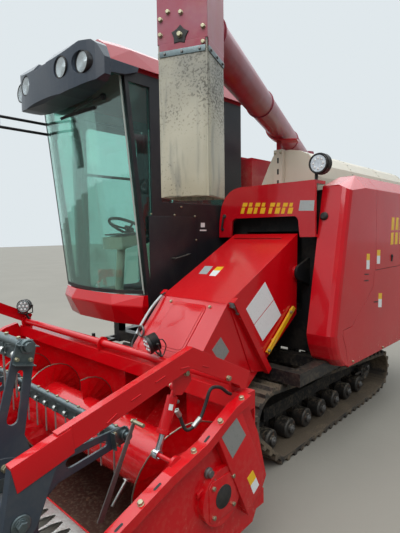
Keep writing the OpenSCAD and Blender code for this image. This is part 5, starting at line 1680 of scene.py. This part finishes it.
    def right_side(self) -> None:
        """Ribs, screen mesh, caps, clamps and handles of the right side and rear."""
        ribs = Piece("tank_ribs")
        for y in (1330, 1560, 1790, 2020, 2250):
            ribs.prism(
                [(-1110, y, 1500), (-1110, y + 46, 1500), (-1118, y + 36, 1500), (-1118, y + 10, 1500)],
                (0, 0, 800)
            )
        for x in (-950, -700, -450, -200):
            ribs.prism(
                [(x, 2430, 1500), (x + 10, 2438, 1500), (x + 36, 2438, 1500), (x + 46, 2430, 1500)],
                (0, 0, 800)
            )
        ribs.build(Finish.DEEP_RED)
        Piece("screen_wire").box((-1113, 1285, 795), (-1111, 2345, 1385), 0.4).build(Finish.MESH, "screen")
        furniture = Piece("screen_fittings")
        handle = [
            (-1129, 1290, 1180), (-1150, 1290, 1180), (-1158, 1290, 1170), (-1158, 1290, 1030),
            (-1150, 1290, 1020), (-1129, 1290, 1020)
        ]
        furniture.tube(handle, 8, 10, 3)
        for z in (830, 1300):
            furniture.turned((-1124, 2424, z), (0, 0, 1), [(0, 11), (2, 13), (68, 13), (70, 11)], 14)
        furniture.build(Finish.BLACK, "screen")
        cap = Piece("fuel_cap").turned(
            (-1019, 2270, 1180), (-1, 0, 0), [(0, 48), (14, 48), (16, 56), (40, 56), (46, 50), (46, 0)], 28
        )
        cap.build(Finish.RUBBER)
        bands = Piece("exhaust_clamps")
        for z in (1420, 1800, 2160):
            bands.turned((-640, 1110, z), (0, 0, 1), [(0, 45), (0, 51), (24, 51), (24, 45)], 28, ring=True)
            bands.bolt((-640, 1061, z + 12), (0, -1, 0), 13)
        bands.build(Finish.HUB)
        lid = Piece("tank_lid_fittings")
        for x in (-960, -420):
            path = [
                (x, 1260, 2370), (x, 1262, 2402), (x + 20, 1262, 2410), (x + 130, 1262, 2410),
                (x + 150, 1262, 2402), (x + 150, 1260, 2370)
            ]
            lid.tube(path, 9, 10, 3)
        lid.build(Finish.BLACK, "lid")
        straw = Piece("straw_hood_fittings")
        for x in (250, 820):
            path = [(x, 3049, 1690), (x, 3100, 1668), (x + 120, 3100, 1668), (x + 120, 3049, 1690)]
            straw.tube(path, 9, 10, 3)
        for z in (960, 1500, 1850):
            straw.bolt((1085, 2935, z), (1, 0, 0), 17)
            straw.bolt((40, 2935, z), (-1, 0, 0), 17)
        straw.build(Finish.BLACK)
        flap = Piece("straw_flap")
        grid = []
        for k in range(13):
            x = 75 + 975 * k / 12
            wave = 4 * math.sin(1.7 * k)
            spots = [Vector((x, 3122 + wave * r, 990 - 260 * r)) for r in (0, 0.25, 0.5, 0.75, 1)]
            grid.append([(spot, Vector((0, -1, 0))) for spot in spots])
        flap.plate(grid, 5.0)
        flap.build(Finish.RUBBER)


@dataclass
class Intake(Section):
    """Feeder house and header."""

    feeder_left: float = 788
    feeder_right: float = 184
    auger_y: float = -790
    auger_z: float = 475
    trough_radius: float = 294.8
    flight_radius: float = 274
    flight_pitch: float = 420

    def build(self) -> None:
        """Dresses the intake and adds its fittings."""
        dress = self.machine.dress
        dress(
            Finish.RED, "feeder_house", "feeder_throat", "header_left_end", "header_right_end",
            "header_frame", "header_auger"
        )
        dress(Finish.YELLOW, "safety_lock")
        dress(Finish.STEEL, "cutter_bar")
        dress(Finish.DEEP_RED, "lift_cylinder")
        dress(Finish.CHROME, "lift_rod")
        self.feeder()
        self.trough()
        self.auger()
        self.left_end()
        floodlight("header_lamp_left", (606, -600, 1010), (-0.35, -1, -0.35), (640, -552, 926), "header")
        floodlight("header_lamp_right", (-1066, -586, 1045), (0.75, -0.7, 0.0), (-1062, -552, 926), "header")

    def feeder(self) -> None:
        """Decals, inspection cover, latch rods and lifting eye of the feeder house."""
        film = Piece("feeder_decal")
        for outline in (
            ((271, 1295), (53, 1137), (141, 1020.5), (375.5, 1160)),
            ((144, 1015), (241, 886), (474, 1033), (380, 1154.5))
        ):
            film.slab(self.feeder_left - 0.2, outline, 1.0)
        film.build(Finish.WHITE_FILM, "header")
        steel = ("feeder_house", "feeder_throat")
        for name, finish, node, corners in (
            ("feeder_diamond", Finish.GREY_FILM, steel,
             ((220.7, 337.1), (229.2, 351.3), (221.1, 364.3), (212, 349.9))),
            ("feeder_sticker_top", Finish.YELLOW_FILM, steel,
             ((217.2, 266.8), (223.9, 266.8), (220.6, 270.6), (213.2, 270.4))),
            ("feeder_sticker_foot", Finish.WHITE_FILM, steel,
             ((213.2, 270.4), (220.6, 270.6), (215.5, 276.1), (209.1, 275.7))),
            ("feeder_label", Finish.SILVER_FILM, steel,
             ((205, 266), (213, 266.3), (206.6, 274.2), (198.6, 273.8))),
            ("lock_label", Finish.SILVER_FILM, "safety_lock",
             ((275.2, 335.4), (278, 336.8), (271.8, 348.2), (269.2, 346.8))),
        ):
            self.label(name, finish, "header", node, corners)
        strip = Piece("feeder_top_strip")
        ends = self.sights("feeder_house", [(234.8, 238.2), (282.0, 238.2)])
        (a, n), (b, _) = ends
        along = (b - a).normalized()
        down = n.cross(along)
        strip.prism([a - down * 9, b - down * 9, b + down * 9, a + down * 9], n * 9, 2)
        strip.build(Finish.RED, "header")
        # Painted shadow: a dark film on the surface just below the strip, where its shadow falls.
        painted_shadow = Piece("feeder_top_shadow")
        front = down if down.z < 0 else -down
        painted_shadow.prism([a + front * 9.5, b + front * 9.5, b + front * 16, a + front * 16], n * 0.8)
        painted_shadow.build(Finish.PAINTED_SHADE, "header")
        self.inspection_cover()
        self.latches()

    def inspection_cover(self) -> None:
        """The bolted cover on the sloping throat."""
        (top, n), (foot, _) = self.sights("feeder_throat", [(207.5, 306.0), (184.0, 355.0)])
        right = self.feeder_left + self.feeder_right - top.x
        rounding = 34
        corners = []
        down = Vector((0, foot.y - top.y, foot.z - top.z)).normalized()
        for x, base, sx, sy in (
            (top.x, top, -1, 1), (top.x, foot, -1, -1), (right, foot, 1, -1), (right, top, 1, 1)
        ):
            corner = Vector((x, base.y, base.z))
            ends = [corner + Vector((sx * rounding, 0, 0)), corner + down * rounding * sy]
            order = ends if (sx, sy) in ((-1, 1), (1, -1)) else ends[::-1]
            middle = (ends[0] + ends[1]) / 2 * 0.42 + corner * 0.58
            corners += [order[0], middle, order[1]]
        cover = Piece("inspection_cover").prism([c - n * 0.5 for c in corners], n * 5, 1.5)
        centre = sum(corners, Vector()) / len(corners)
        cover.prism([centre + (c - centre) * 0.9 + n * 4 for c in corners], n * 4, 1.5)
        cover.build(Finish.RED, "header")
        spots = [
            Vector((x, base.y, base.z)) + down * shift for x in (top.x + 26, right - 26)
            for base, shift in ((top, 6), (foot, -6))
        ]
        self.bolts("inspection_bolts", "header", [(s, n) for s in spots], 17)

    def latches(self) -> None:
        """Latch rods on both flanges and the eye on the feeder."""
        for name, x, sign in (("left", self.feeder_left, 1), ("right", self.feeder_right, -1)):
            rod = Piece(f"flange_rod_{name}")
            a, b = Vector((x + sign * 26, -118, 1186)), Vector((x + sign * 26, 40, 1020))
            way = (b - a).normalized()
            rod.tube([a, b], 6.5, 12)
            for at in (0.02, 0.3, 0.92):
                rod.turned(a.lerp(b, at), way, [(0, 15), (12, 15)], 6)
            rod.coil(a.lerp(b, 0.62), way, 12, 3, 7, 9)
            for p in (a, b):
                rod.box((min(x, p.x), p.y - 5, p.z - 16), (max(x, p.x) + 12, p.y + 5, p.z + 16), 2)
            rod.build(Finish.HUB, "header")
        plate = Piece("flange_plate")
        outline = [(-129, 1191), (-54, 1191), (303, 695), (254, 671), (102, 702)]
        for x, sign in ((self.feeder_left - 1, 1), (self.feeder_right + 1, -1)):
            plate.slab(x, outline, 8 * sign, 1.5)
        plate.build(Finish.RED, "header")
        spots = [(-26, 1091), (58, 998), (146, 879), (216, 781)]
        self.bolts("flange_bolts", "header", [(Vector((795, y, z)), Vector((1, 0, 0))) for y, z in spots], 19)
        tag = Piece("flange_tag").slab(795, ((-62, 1188), (-40, 1160), (-62, 1144), (-84, 1172)), 1)
        tag.build(Finish.WHITE_FILM, "header")
        self.bolts("lock_bolts", "header", self.sights("safety_lock", [(290.6, 312.0), (268.8, 350.4)]), 19)
        eye = Piece("feeder_eye")
        middle = Vector((235, -380, 985))
        turns = (*around(20), 2 * math.pi)
        ring = [middle + Vector((26 * math.cos(a), 0, 34 * math.sin(a))) for a in turns]
        eye.tube(ring, 8, 10)
        eye.build(Finish.HUB, "header")

    def trough(self) -> None:
        """The worn liner of the trough and the flat bar over it."""
        line = [(-1104, 180.2), (-960, 180.2), (-850, 180.2)]
        for a in range(270, 323, 4):
            line.append(self.beside_auger(self.trough_radius, math.radians(a)))
        grid = []
        for i, (y, z) in enumerate(line):
            before, after = line[max(i - 1, 0)], line[min(i + 1, len(line) - 1)]
            normal = Vector((0, before[1] - after[1], after[0] - before[0])).normalized()
            grid.append([(Vector((x, y, z)), normal) for x in (-1194, -600, 0, 600, 1244)])
        Piece("trough_liner").plate(grid, 1.6).build(Finish.WORN_FLOOR, "header")
        rail = Piece("back_wall_rail")
        rail.slab(-1198, ((-500, 772), (-556, 772), (-556, 812), (-500, 812)), 2446, 3)
        rail.build(Finish.RED, "header")
        seats = [(Vector((x, -556, 792)), Vector((0, -1, 0))) for x in range(-1050, 1250, 300)]
        self.bolts("back_wall_bolts", "header", seats, 15)

    def beside_auger(self, radius: float, turn: float) -> tuple[float, float]:
        """The y and z of a point at a distance from the auger's axis and an angle round it."""
        return self.auger_y + radius * math.cos(turn), self.auger_z + radius * math.sin(turn)

    def on_rail(self, y: float) -> Seat:
        """The top of the left end's rail at a place along it."""
        return self.machine.seat("header_left_end", (1285, y, 1200), (0, 0, -1))

    def auger(self) -> None:
        """Worn bright edges of the flights and the steel fingers."""
        edges = Piece("flight_edges")
        for start, end, hand in ((-1188, self.feeder_right, 1), (self.feeder_left, 1238, -1)):
            steps = math.ceil((end - start) / self.flight_pitch * 28)
            path = []
            for k in range(steps + 1):
                a = hand * 2 * math.pi * (end - start) / self.flight_pitch * k / steps
                x = start + (end - start - 6) * k / steps + 3
                path.append((x, *self.beside_auger(self.flight_radius, a)))
            edges.tube(path, 4.2, 6)
        edges.build(Finish.WORN_EDGE, "auger")
        fingers = Piece("auger_fingers")
        for k in range(6):
            turn = 212 + k * 75
            reach = (285 if 90 < turn % 360 < 300 else 200) - 147
            a = math.radians(turn)
            foot = (self.feeder_right + 60 + k * 96, *self.beside_auger(149, a))
            profile = [(0, 22), (6, 22), (8, 9), (reach - 3, 9), (reach, 7), (reach, 0)]
            fingers.turned(foot, (0, math.cos(a), math.sin(a)), profile, 14)
        fingers.build(Finish.STEEL, "auger")

    def left_end(self) -> None:
        """Cover, decals, bearing plate and bolts on the header's left end, and bolts on the right one."""
        cover = Piece("end_cover")
        outline = [(-842, 779), (-712, 842), (-664, 829), (-484, 447), (-496, 403), (-617, 299)]
        cover.slab(1263.5, outline, 40, 4)
        cover.build(Finish.RED, "header")
        for name, finish, corners in (
            ("end_decal", Finish.GREY_FILM, ((-706, 812), (-806, 752), (-733, 628), (-634, 700))),
            ("end_sticker_top", Finish.YELLOW_FILM, ((-581, 508), (-626, 487), (-600, 438), (-556, 461))),
            ("end_sticker_foot", Finish.WHITE_FILM, ((-600, 438), (-556, 461), (-532, 412), (-576, 385))),
        ):
            Piece(name).slab(1303.3, corners, 1.0).build(finish, "header")
        for name, x, sign in (("left", 1294, 1), ("right", -1244, -1)):
            cone = Piece(f"auger_bearing_{name}")
            profile = [(-1, 52), (6, 52), (6.5, 44), (9, 40), (10, 24), (11.5, 20), (11.6, 0)]
            cone.turned((x, self.auger_y, self.auger_z), (sign, 0, 0), profile, 28)
            cone.build(Finish.RUBBER, "header")
            spots = [Vector((x + 3.5 * sign, *self.beside_auger(94, t))) for t in (0.8, 2.36, 3.93, 5.5)]
            seats = [(spot, Vector((sign, 0, 0))) for spot in spots]
            self.bolts(f"bearing_bolts_{name}", "header", seats, 17, washer=False)
            plate = Piece(f"bearing_plate_{name}")
            turns = [math.radians(a) for a in (38, 52, 128, 142, 218, 232, 308, 322)]
            plate.slab(x - sign * 0.5, [self.beside_auger(118, t) for t in turns], 4 * sign, 1)
            plate.build(Finish.RED, "header")
        fold = Piece("end_fold")
        fold.slab(1263.8, ((-731, 596), (-931, 539), (-931, 518), (-731, 575)), 13, 3)
        fold.build(Finish.RED, "header")
        lever = Piece("end_lever")
        lever.turned((1263.5, -856, 600), (1, 0, 0), [(0, 24), (10, 24), (14, 18), (26, 16), (28, 0)], 20)
        lever.tube([(1284, -856, 600), (1288, -840, 572), (1288, -822, 548)], 7, 10)
        lever.build(Finish.HUB, "header")
        self.bolts("rail_bolts", "header", [self.on_rail(y) for y in (-1420, -1240, -960, -790, -640)], 21)
        # Painted shade: dark films where the slots in the rail are.
        holes = Piece("rail_slots")
        slot = ((-16, -6), (16, -6), (20, 0), (16, 6), (-16, 6), (-20, 0))
        for y in (-1340, -1160, -880):
            point, normal = self.on_rail(y)
            along = Vector((1, 0, 0)).cross(normal)
            holes.prism([point + along * a + Vector((b, 0, 0)) for a, b in slot], normal * 0.5)
        holes.build(Finish.PAINTED_SHADE, "header")


@dataclass
class Reel(Section):
    """The pick-up reel, its arms and cylinders."""

    pin: Point = (-930, 975)
    foot: Point = (-1040, 715)
    rams: Sequence[tuple[str, float, int]] = (("left", 1147, 1), ("right", -1097, -1))
    middle: float = 25.0
    y: float = -1650.0
    z: float = 765.0
    radius: float = 512.0
    half_width: float = 1181.0

    @staticmethod
    def turn_of(number: int) -> float:
        """The angle of a tine bar round the reel, with bars counted from 0."""
        return math.radians(5 + 72 * number)

    def build(self) -> None:
        """Dresses the reel and adds its springs, clamps and bearings."""
        dress = self.machine.dress
        dress(Finish.RED, "reel_arms", "reel_cylinder_left", "reel_cylinder_right")
        self.machine.dress_part(Finish.SLATE, "reel_arms", lambda p: p.y < -1530)
        dress(Finish.CHROME, "reel_rod_left", "reel_rod_right")
        dress(Finish.SLATE, "reel_rotor")
        dress(Finish.ZINC, *(f"tine_bar_{i}" for i in range(1, 6)))
        for i in range(5):
            self.tines(i + 1, self.turn_of(i))
        self.clamps()
        self.arms()
        self.cylinder_label()

    def tines(self, number: int, turn: float) -> None:
        """The flat strip, springs and bolts of one tine bar.

        Args:
            number: The bar's number.
            turn: Its angle round the reel.
        """
        y, z = self.y + self.radius * math.cos(turn), self.z + self.radius * math.sin(turn)
        body = f"tines_{number}"
        strip = Piece(f"tine_strip_{number}")
        for low, high in ((-988, 12), (70, 1038)):
            outline = ((y - 6, z - 14), (y - 2, z - 14), (y - 5, z - 62), (y - 9, z - 62))
            strip.slab(low, outline, high - low)
        strip.build(Finish.ZINC, body)
        springs, heads = Piece(f"tine_springs_{number}"), Piece(f"tine_bolts_{number}")
        for k in range(20):
            x = self.middle + (k - 9.5) * 100 + 26
            springs.coil((x, y - 14, z - 40), (1, 0, 0), 13, 3.2, 2.4, 7)
            springs.tube([(x, y - 14, z - 53), (x, y - 14, z - 187)], 4.4, 6)
            heads.bolt((x, y, z + 16.5), (0, 0, 1), 13, washer=False)
            heads.bolt((x - 22, y - 8, z - 38), (0, -1, 0), 11, washer=False)
        springs.build(Finish.STEEL, body)
        heads.build(Finish.BOLT, body)

    def clamps(self) -> None:
        """The galvanised clamps at the spiders' tips, the end nuts and the hub bolts."""
        plates, bolts = Piece("spider_clamps"), Piece("spider_bolts")
        tip = [(448, -36), (518, -36), (533, -20), (533, 20), (518, 36), (448, 36)]
        for x, face in ((1050, 1), (25, 1), (-1000, -1)):
            away = (face, 0, 0)
            for i in range(5):
                turn = self.turn_of(i)
                out = Vector((0, math.cos(turn), math.sin(turn)))
                side = Vector((0, -math.sin(turn), math.cos(turn)))
                hub = Vector((x, self.y, self.z))
                base = hub + Vector((face * 5.2, 0, 0))
                plates.prism([base + out * a + side * b for a, b in tip], (face * 3.5, 0, 0), 1)
                for a in (449, 514):
                    lips = [base + out * a + side * b for b in (-36, 36)]
                    plates.prism([lips[0], lips[1], lips[1] + out * 3, lips[0] + out * 3], (face * 30, 0, 0))
                eye = hub + Vector((face * 8.6, 0, 0)) + out * self.radius
                plates.turned(eye, away, [(0, 25), (14, 25), (16, 22), (16, 18), (0, 18)], 22, ring=True)
                for b in (-24, 24):
                    bolts.bolt(base + Vector((face * 3, 0, 0)) + out * 466 + side * b, away, 13)
        cap = [(-1, 76), (4, 76), (6, 70), (6, 32), (-1, 32)]
        for x, face in ((1059, 1), (-1009, -1)):
            for turn in around(6, 0.3):
                spot = (x, self.y + 108 * math.cos(turn), self.z + 108 * math.sin(turn))
                bolts.bolt(spot, (face, 0, 0), 21)
            plates.turned((x, self.y, self.z), (face, 0, 0), cap, 30, ring=True)
        plates.build(Finish.ZINC, "reel", smooth=25)
        bolts.build(Finish.BOLT, "reel")

    def arms(self) -> None:
        """Bearing discs, lips, the painted shade of a slot, weld beads and bolts of the reel arms."""
        discs = Piece("reel_bearing_discs")
        for sign in (1, -1):
            x, out = self.middle + sign * (self.half_width + 17), (sign, 0, 0)
            discs.turned((x, self.y, self.z), out, [(-1, 31), (4, 31), (6, 28), (6, 22), (7, 22)], 30)
            discs.turned((x + sign * 6.5, self.y, self.z), out, [(0, 18), (14, 18), (16, 14), (16, 0)], 6)
        discs.build(Finish.ZINC, "reel_carrier", smooth=25)
        tips, stays, pins = Piece("reel_arm_tips"), Piece("reel_stays"), Piece("reel_stay_pins")
        for sign in (1, -1):
            inner = self.middle + sign * (self.half_width - 18.5)
            tips.slab(inner, ((-1470, 1005), (-1673, 952), (-1656, 866), (-1462, 917)), 38 * sign, 2)
            x = self.middle + sign * 1104
            stays.slab(x, ((-1130, 896), (-1156, 882), (-1330, 556), (-1304, 544)), 5 * sign, 1)
            end = self.middle + sign * (self.half_width - 15)
            pins.tube([(x - 6 * sign, -1144, 887), (end, -1144, 887)], 8, 10)
            pins.bolt((x, -1144, 887), (-sign, 0, 0), 17)
        tips.build(Finish.RED, "reel_carrier")
        stays.build(Finish.HUB, "reel_carrier")
        pins.build(Finish.BOLT, "reel_carrier")
        node = "reel_arms"
        beads = Piece("reel_arm_welds")
        for a, b in (
            ((107.0, 423.5), (116.5, 413.5)), ((131.0, 401.0), (140.6, 394.2)),
            ((155.4, 382.5), (165.0, 376.0)), ((180.5, 368.8), (189.0, 366.6)),
            ((202.5, 365.8), (208.5, 367.0))
        ):
            ends = self.sights(node, [a, b])
            beads.tube([p + n * 0.5 for p, n in ends], 3.0, 6)
        beads.build(Finish.RED, "reel_carrier")
        # Painted shade: a dark film where a slot in the arm is.
        self.label(
            "reel_arm_slot", Finish.PAINTED_SHADE, "reel_carrier", node,
            [(64.9, 437.4), (66.8, 436.4), (67.7, 437.6), (65.8, 438.8)], thick=0.5
        )
        self.bolts("reel_arm_bolts", "reel_carrier", self.sights(node, [(186.0, 373.0), (228.0, 378.0)]), 21)
        pins = Piece("cylinder_pins")
        for _, x, side in self.rams:
            pins.bolt((x - side * 18, *self.pin), (-side, 0, 0), 19)
            pins.turned((x - side * 14, *self.pin), (-side, 0, 0), [(0, 17), (4, 17), (5, 15), (5, 0)], 20)
        pins.build(Finish.BOLT, "reel_carrier")
        feet = Piece("cylinder_foot_pins")
        for _, x, side in self.rams:
            feet.bolt((x - side * 18, *self.foot), (-side, 0, 0), 19)
        feet.build(Finish.BOLT, "header")

    def cylinder_label(self) -> None:
        """The small bare label and the ports of the cylinders."""
        corners = [(169.4, 404.0), (173.4, 404.6), (172.2, 410.6), (168.2, 410.0)]
        self.label(
            "cylinder_label", Finish.WHITE_FILM, "reel_barrel_left", "reel_cylinder_left", corners, cuts=4
        )
        way = Vector((0, -0.38964, -0.920967))
        for name, x, _ in self.rams:
            start = Vector((x, *self.pin)) + way * 60
            port = Piece(f"cylinder_port_{name}")
            profile = [(0, 12), (10, 12), (11, 9), (20, 9), (20, 0)]
            port.turned(start + Vector((0, 22, -9)), (0, 0.92, -0.39), profile, 6)
            port.build(Finish.HUB, f"reel_barrel_{name}")
            gland = Piece(f"cylinder_gland_{name}")
            gland.turned(start + way * 118, way, [(0, 25.2), (0.5, 29), (18, 29), (20, 25.2)], 28, ring=True)
            gland.build(Finish.RED, f"reel_barrel_{name}")


@dataclass
class Unloading(Section):
    """Riser, swinging tube with its spout, and the tube's rest."""

    pivot: Point = (-195.0, 2560.0)
    turn: float = math.radians(22.8)
    reach: float = 3774.0

    def spot(self, across: float, along: float, z: float) -> Vector:
        """A point of the tube's own frame in drawing millimetres."""
        c, s = math.cos(self.turn), math.sin(self.turn)
        return Vector((self.pivot[0] + across * c - along * s, self.pivot[1] + across * s + along * c, z))

    def way(self, across: float, along: float) -> Vector:
        """A level direction of the tube's own frame."""
        return self.spot(across, along, 0) - self.spot(0, 0, 0)

    @staticmethod
    def sides() -> Iterable[tuple[tuple[float, float], tuple[float, float]]]:
        """The outward and the rightward direction of each side of the square spout."""
        for side in range(4):
            a = math.pi / 2 * side
            yield (math.sin(a), -math.cos(a)), (math.cos(a), math.sin(a))

    def on_spout(self, side: Sequence[Point], off: float, t: float, z: float) -> Vector:
        """A point of the spout at a distance out from its middle and one along a side."""
        out, right = side
        return self.spot(out[0] * off + right[0] * t, out[1] * off + right[1] * t - self.reach, z)

    def build(self) -> None:
        """Dresses the unloading gear and adds the chute and its fittings."""
        machine = self.machine
        machine.dress(Finish.FADED_RED_AND_SKY_SHEEN, "unloading_tube")
        machine.dress_part(Finish.CHUTE, "unloading_tube", lambda p: p.z < 2344)
        machine.dress(Finish.RED, "unloading_riser")
        machine.dress(Finish.CREAM, "tube_rest")
        machine.dress_part(Finish.DEEP_RED, "tube_rest", lambda p: p.z > 2308)
        self.chute()
        self.spout()
        self.joints()
        self.rest()

    def chute(self) -> None:
        """The hanging plastic chute, bulged a little, with a torn foot and a riveted strip."""
        draw = random.Random(5)
        corner, half, cuts = 10.0, 98.2, 12
        ring = []
        for out, right in self.sides():
            for k in range(cuts):
                t = -half + corner + 2 * (half - corner) * k / (cuts - 1)
                x, y = (out[i] * half + right[i] * t for i in (0, 1))
                ring.append((x, y, out, 1 - (t / half) ** 2))
        phases = [draw.uniform(0, 6.28) for _ in range(6)]
        rows, top, foot = 22, 2318, 1779
        tear = [draw.uniform(-2.5, 2.5) for _ in ring]
        grid = []
        for i in range(rows + 1):
            level = i / rows
            row = []
            for k, (x, y, out, middle) in enumerate(ring):
                z = top - level * (top - foot) + (tear[k] if i == rows else 0)
                wave = math.sin(level * 5 + phases[k // cuts])
                wave += 0.6 * math.sin(level * 11 + k * 0.35 + phases[4])
                swell = (4.2 + 2.4 * wave * middle) * min(1.0, level * 4, (1.02 - level) * 9) * (0.2 + middle)
                normal = self.way(out[0], out[1])
                row.append((self.spot(x, y - self.reach, z) + normal * max(0.2, swell), normal))
            grid.append(row)
        Piece("chute_skin").plate(grid, 2.0, closed=True).build(Finish.CHUTE, "tube", smooth=50)
        strip, rivets, skirt = Piece("chute_strip"), Piece("chute_rivets"), Piece("spout_skirt")
        rise = Vector((0, 0, 20))
        for side in self.sides():
            normal = self.way(*side[0])
            a, b = (self.on_spout(side, 100, t, 2297) for t in (-92, 92))
            section = [p + normal * d for p, d in ((a, 3.2), (b, 3.2), (b, 0.2), (a, 0.2))]
            strip.prism(section, (0, 0, 22), 0.8)
            section = [p + normal * d + rise for p, d in ((a, 1.4), (b, 1.4), (b, 0), (a, 0))]
            skirt.prism(section, (0, 0, 28))
            for t in (-70, 0, 70):
                rivets.bolt(self.on_spout(side, 103, t, 2308), normal, 9, washer=False)
        strip.build(Finish.ZINC, "tube")
        skirt.build(Finish.FADED_RED_AND_SKY_SHEEN, "tube")
        rivets.build(Finish.HUB, "tube")

    def spout(self) -> None:
        """The star plate and the bolts of the spout box."""
        centre, normal = self.machine.sight("unloading_tube", (180.0, 35.0))
        side = Vector((0, 0, 1)).cross(normal).normalized()
        up = normal.cross(side)
        outline = []
        for k in range(10):
            a = math.pi * k / 5 + 0.25
            r = 36 if k % 2 == 0 else 24
            outline.append(centre + (side * math.cos(a) + up * math.sin(a)) * r)
        Piece("spout_star").prism(outline, normal * 3.5, 1).build(Finish.RUBBER, "tube")
        self.bolts("spout_star_bolt", "tube", [(centre + normal * 3, normal)], 17)
        spots = [(180.8, 12.5), (160.6, 20.3), (160.6, 35.7), (203.2, 26.2), (203.4, 42.0), (168.0, 12.3)]
        self.bolts("spout_bolts", "tube", self.sights("unloading_tube", spots), 14)

    def joints(self) -> None:
        """Flange bolts at the turntable and rings along the tube."""
        bolts = Piece("turntable_bolts")
        for a in around(10, 0.2):
            spot = (self.pivot[0] + 110 * math.cos(a), self.pivot[1] + 110 * math.sin(a), 2386)
            bolts.bolt(spot, (0, 0, 1), 15)
        bolts.build(Finish.BOLT, "tube")
        rings = Piece("tube_rings")
        for along in (-150, -1350, -2550, -3600):
            foot, profile = self.spot(0, along, 2480), [(0, 87), (0, 94), (10, 94), (10, 87)]
            rings.turned(foot, self.way(0, -1), profile, 36, ring=True)
        rings.build(Finish.FADED_RED_AND_SKY_SHEEN, "tube", smooth=25)
        clamp = Piece("riser_clamp")
        clamp.turned((*self.pivot, 1900), (0, 0, 1), [(0, 87), (0, 93), (50, 93), (50, 87)], 36, ring=True)
        clamp.build(Finish.DEEP_RED, smooth=25)

    def rest(self) -> None:
        """Painted shade of the slots, and bolts, of the tube's rest."""
        post_y = 900
        x = self.pivot[0] + (self.pivot[1] - post_y + 20) * math.tan(self.turn)
        # Painted shade: dark films where the slots in the post are.
        slots = Piece("rest_slots")
        for z in (2040, 2130, 2220):
            corners = ((-8, -22), (8, -22), (8, 22), (-8, 22))
            slots.prism([(x + dx, 859.6, z + dz) for dx, dz in corners], (0, 0.6, 0))
        slots.build(Finish.PAINTED_SHADE)
        seats = [
            (Vector((x + dx, 860, z)), Vector((0, -1, 0)))
            for dx, z in ((-26, 2000), (26, 2000), (-26, 2280), (26, 2280))
        ]
        self.bolts("rest_bolts", "machine", seats, 15)


def cords() -> None:
    """Lays the two cords: the reel cylinder's hose and the lamp harness on the feeder."""
    hose_line = [
        (1196, -612, 862), (1206, -650, 884), (1204, -700, 922), (1194, -752, 926), (1186, -779, 862),
        (1184, -812, 807), (1176, -852, 776), (1168, -886, 772), (1158, -900, 800), (1150, -908, 838),
        (1147, -925, 868)
    ]
    harness_line = [
        (206, -130, 1216), (200, -160, 1198), (196, -209, 1160), (192, -260, 1112), (190, -336, 1026),
        (192, -390, 960), (200, -430, 915), (240, -462, 882), (330, -486, 866), (470, -500, 866),
        (600, -520, 880)
    ]
    for name, line, radius, stiffness in (
        ("reel_hose", hose_line, 8.0, "stiff"),
        ("lamp_harness", harness_line, 6.0, "medium"),
    ):
        path = flowing([Vector(p) for p in line], 3)
        length = sum((b - a).length for a, b in zip(path, path[1:])) * MM
        made = Piece(name).tube(path, radius, 12).build(Finish.RUBBER, "header")
        points = [tuple(place(p)) for p in path]
    fittings = Piece("hose_fittings")
    for a, b in (hose_line[5:7], hose_line[9:11]):
        start, way = Vector(a), Vector(b) - Vector(a)
        fittings.turned(start, way, [(0, 10), (2, 12), (way.length, 12), (way.length, 10)], 16)
    fittings.build(Finish.STEEL, "header")
    sleeve = flowing([Vector(p) for p in harness_line[1:6]], 3)
    Piece("harness_sleeve").tube(sleeve, 9.5, 12).build(Finish.SILVER_FILM, "header")


def main() -> None:
    """Builds the scene."""
    logging.basicConfig(level=logging.INFO, format="%(name)s: %(message)s")
    machine = Machine()
    Studio(machine.view).build()
    cords()
    for part in (Undercarriage, Cab, Body, Intake, Reel, Unloading):
        part(machine).build()
        LOG.info("%s dressed", part.__name__)


if __name__ == "__main__":
    main()
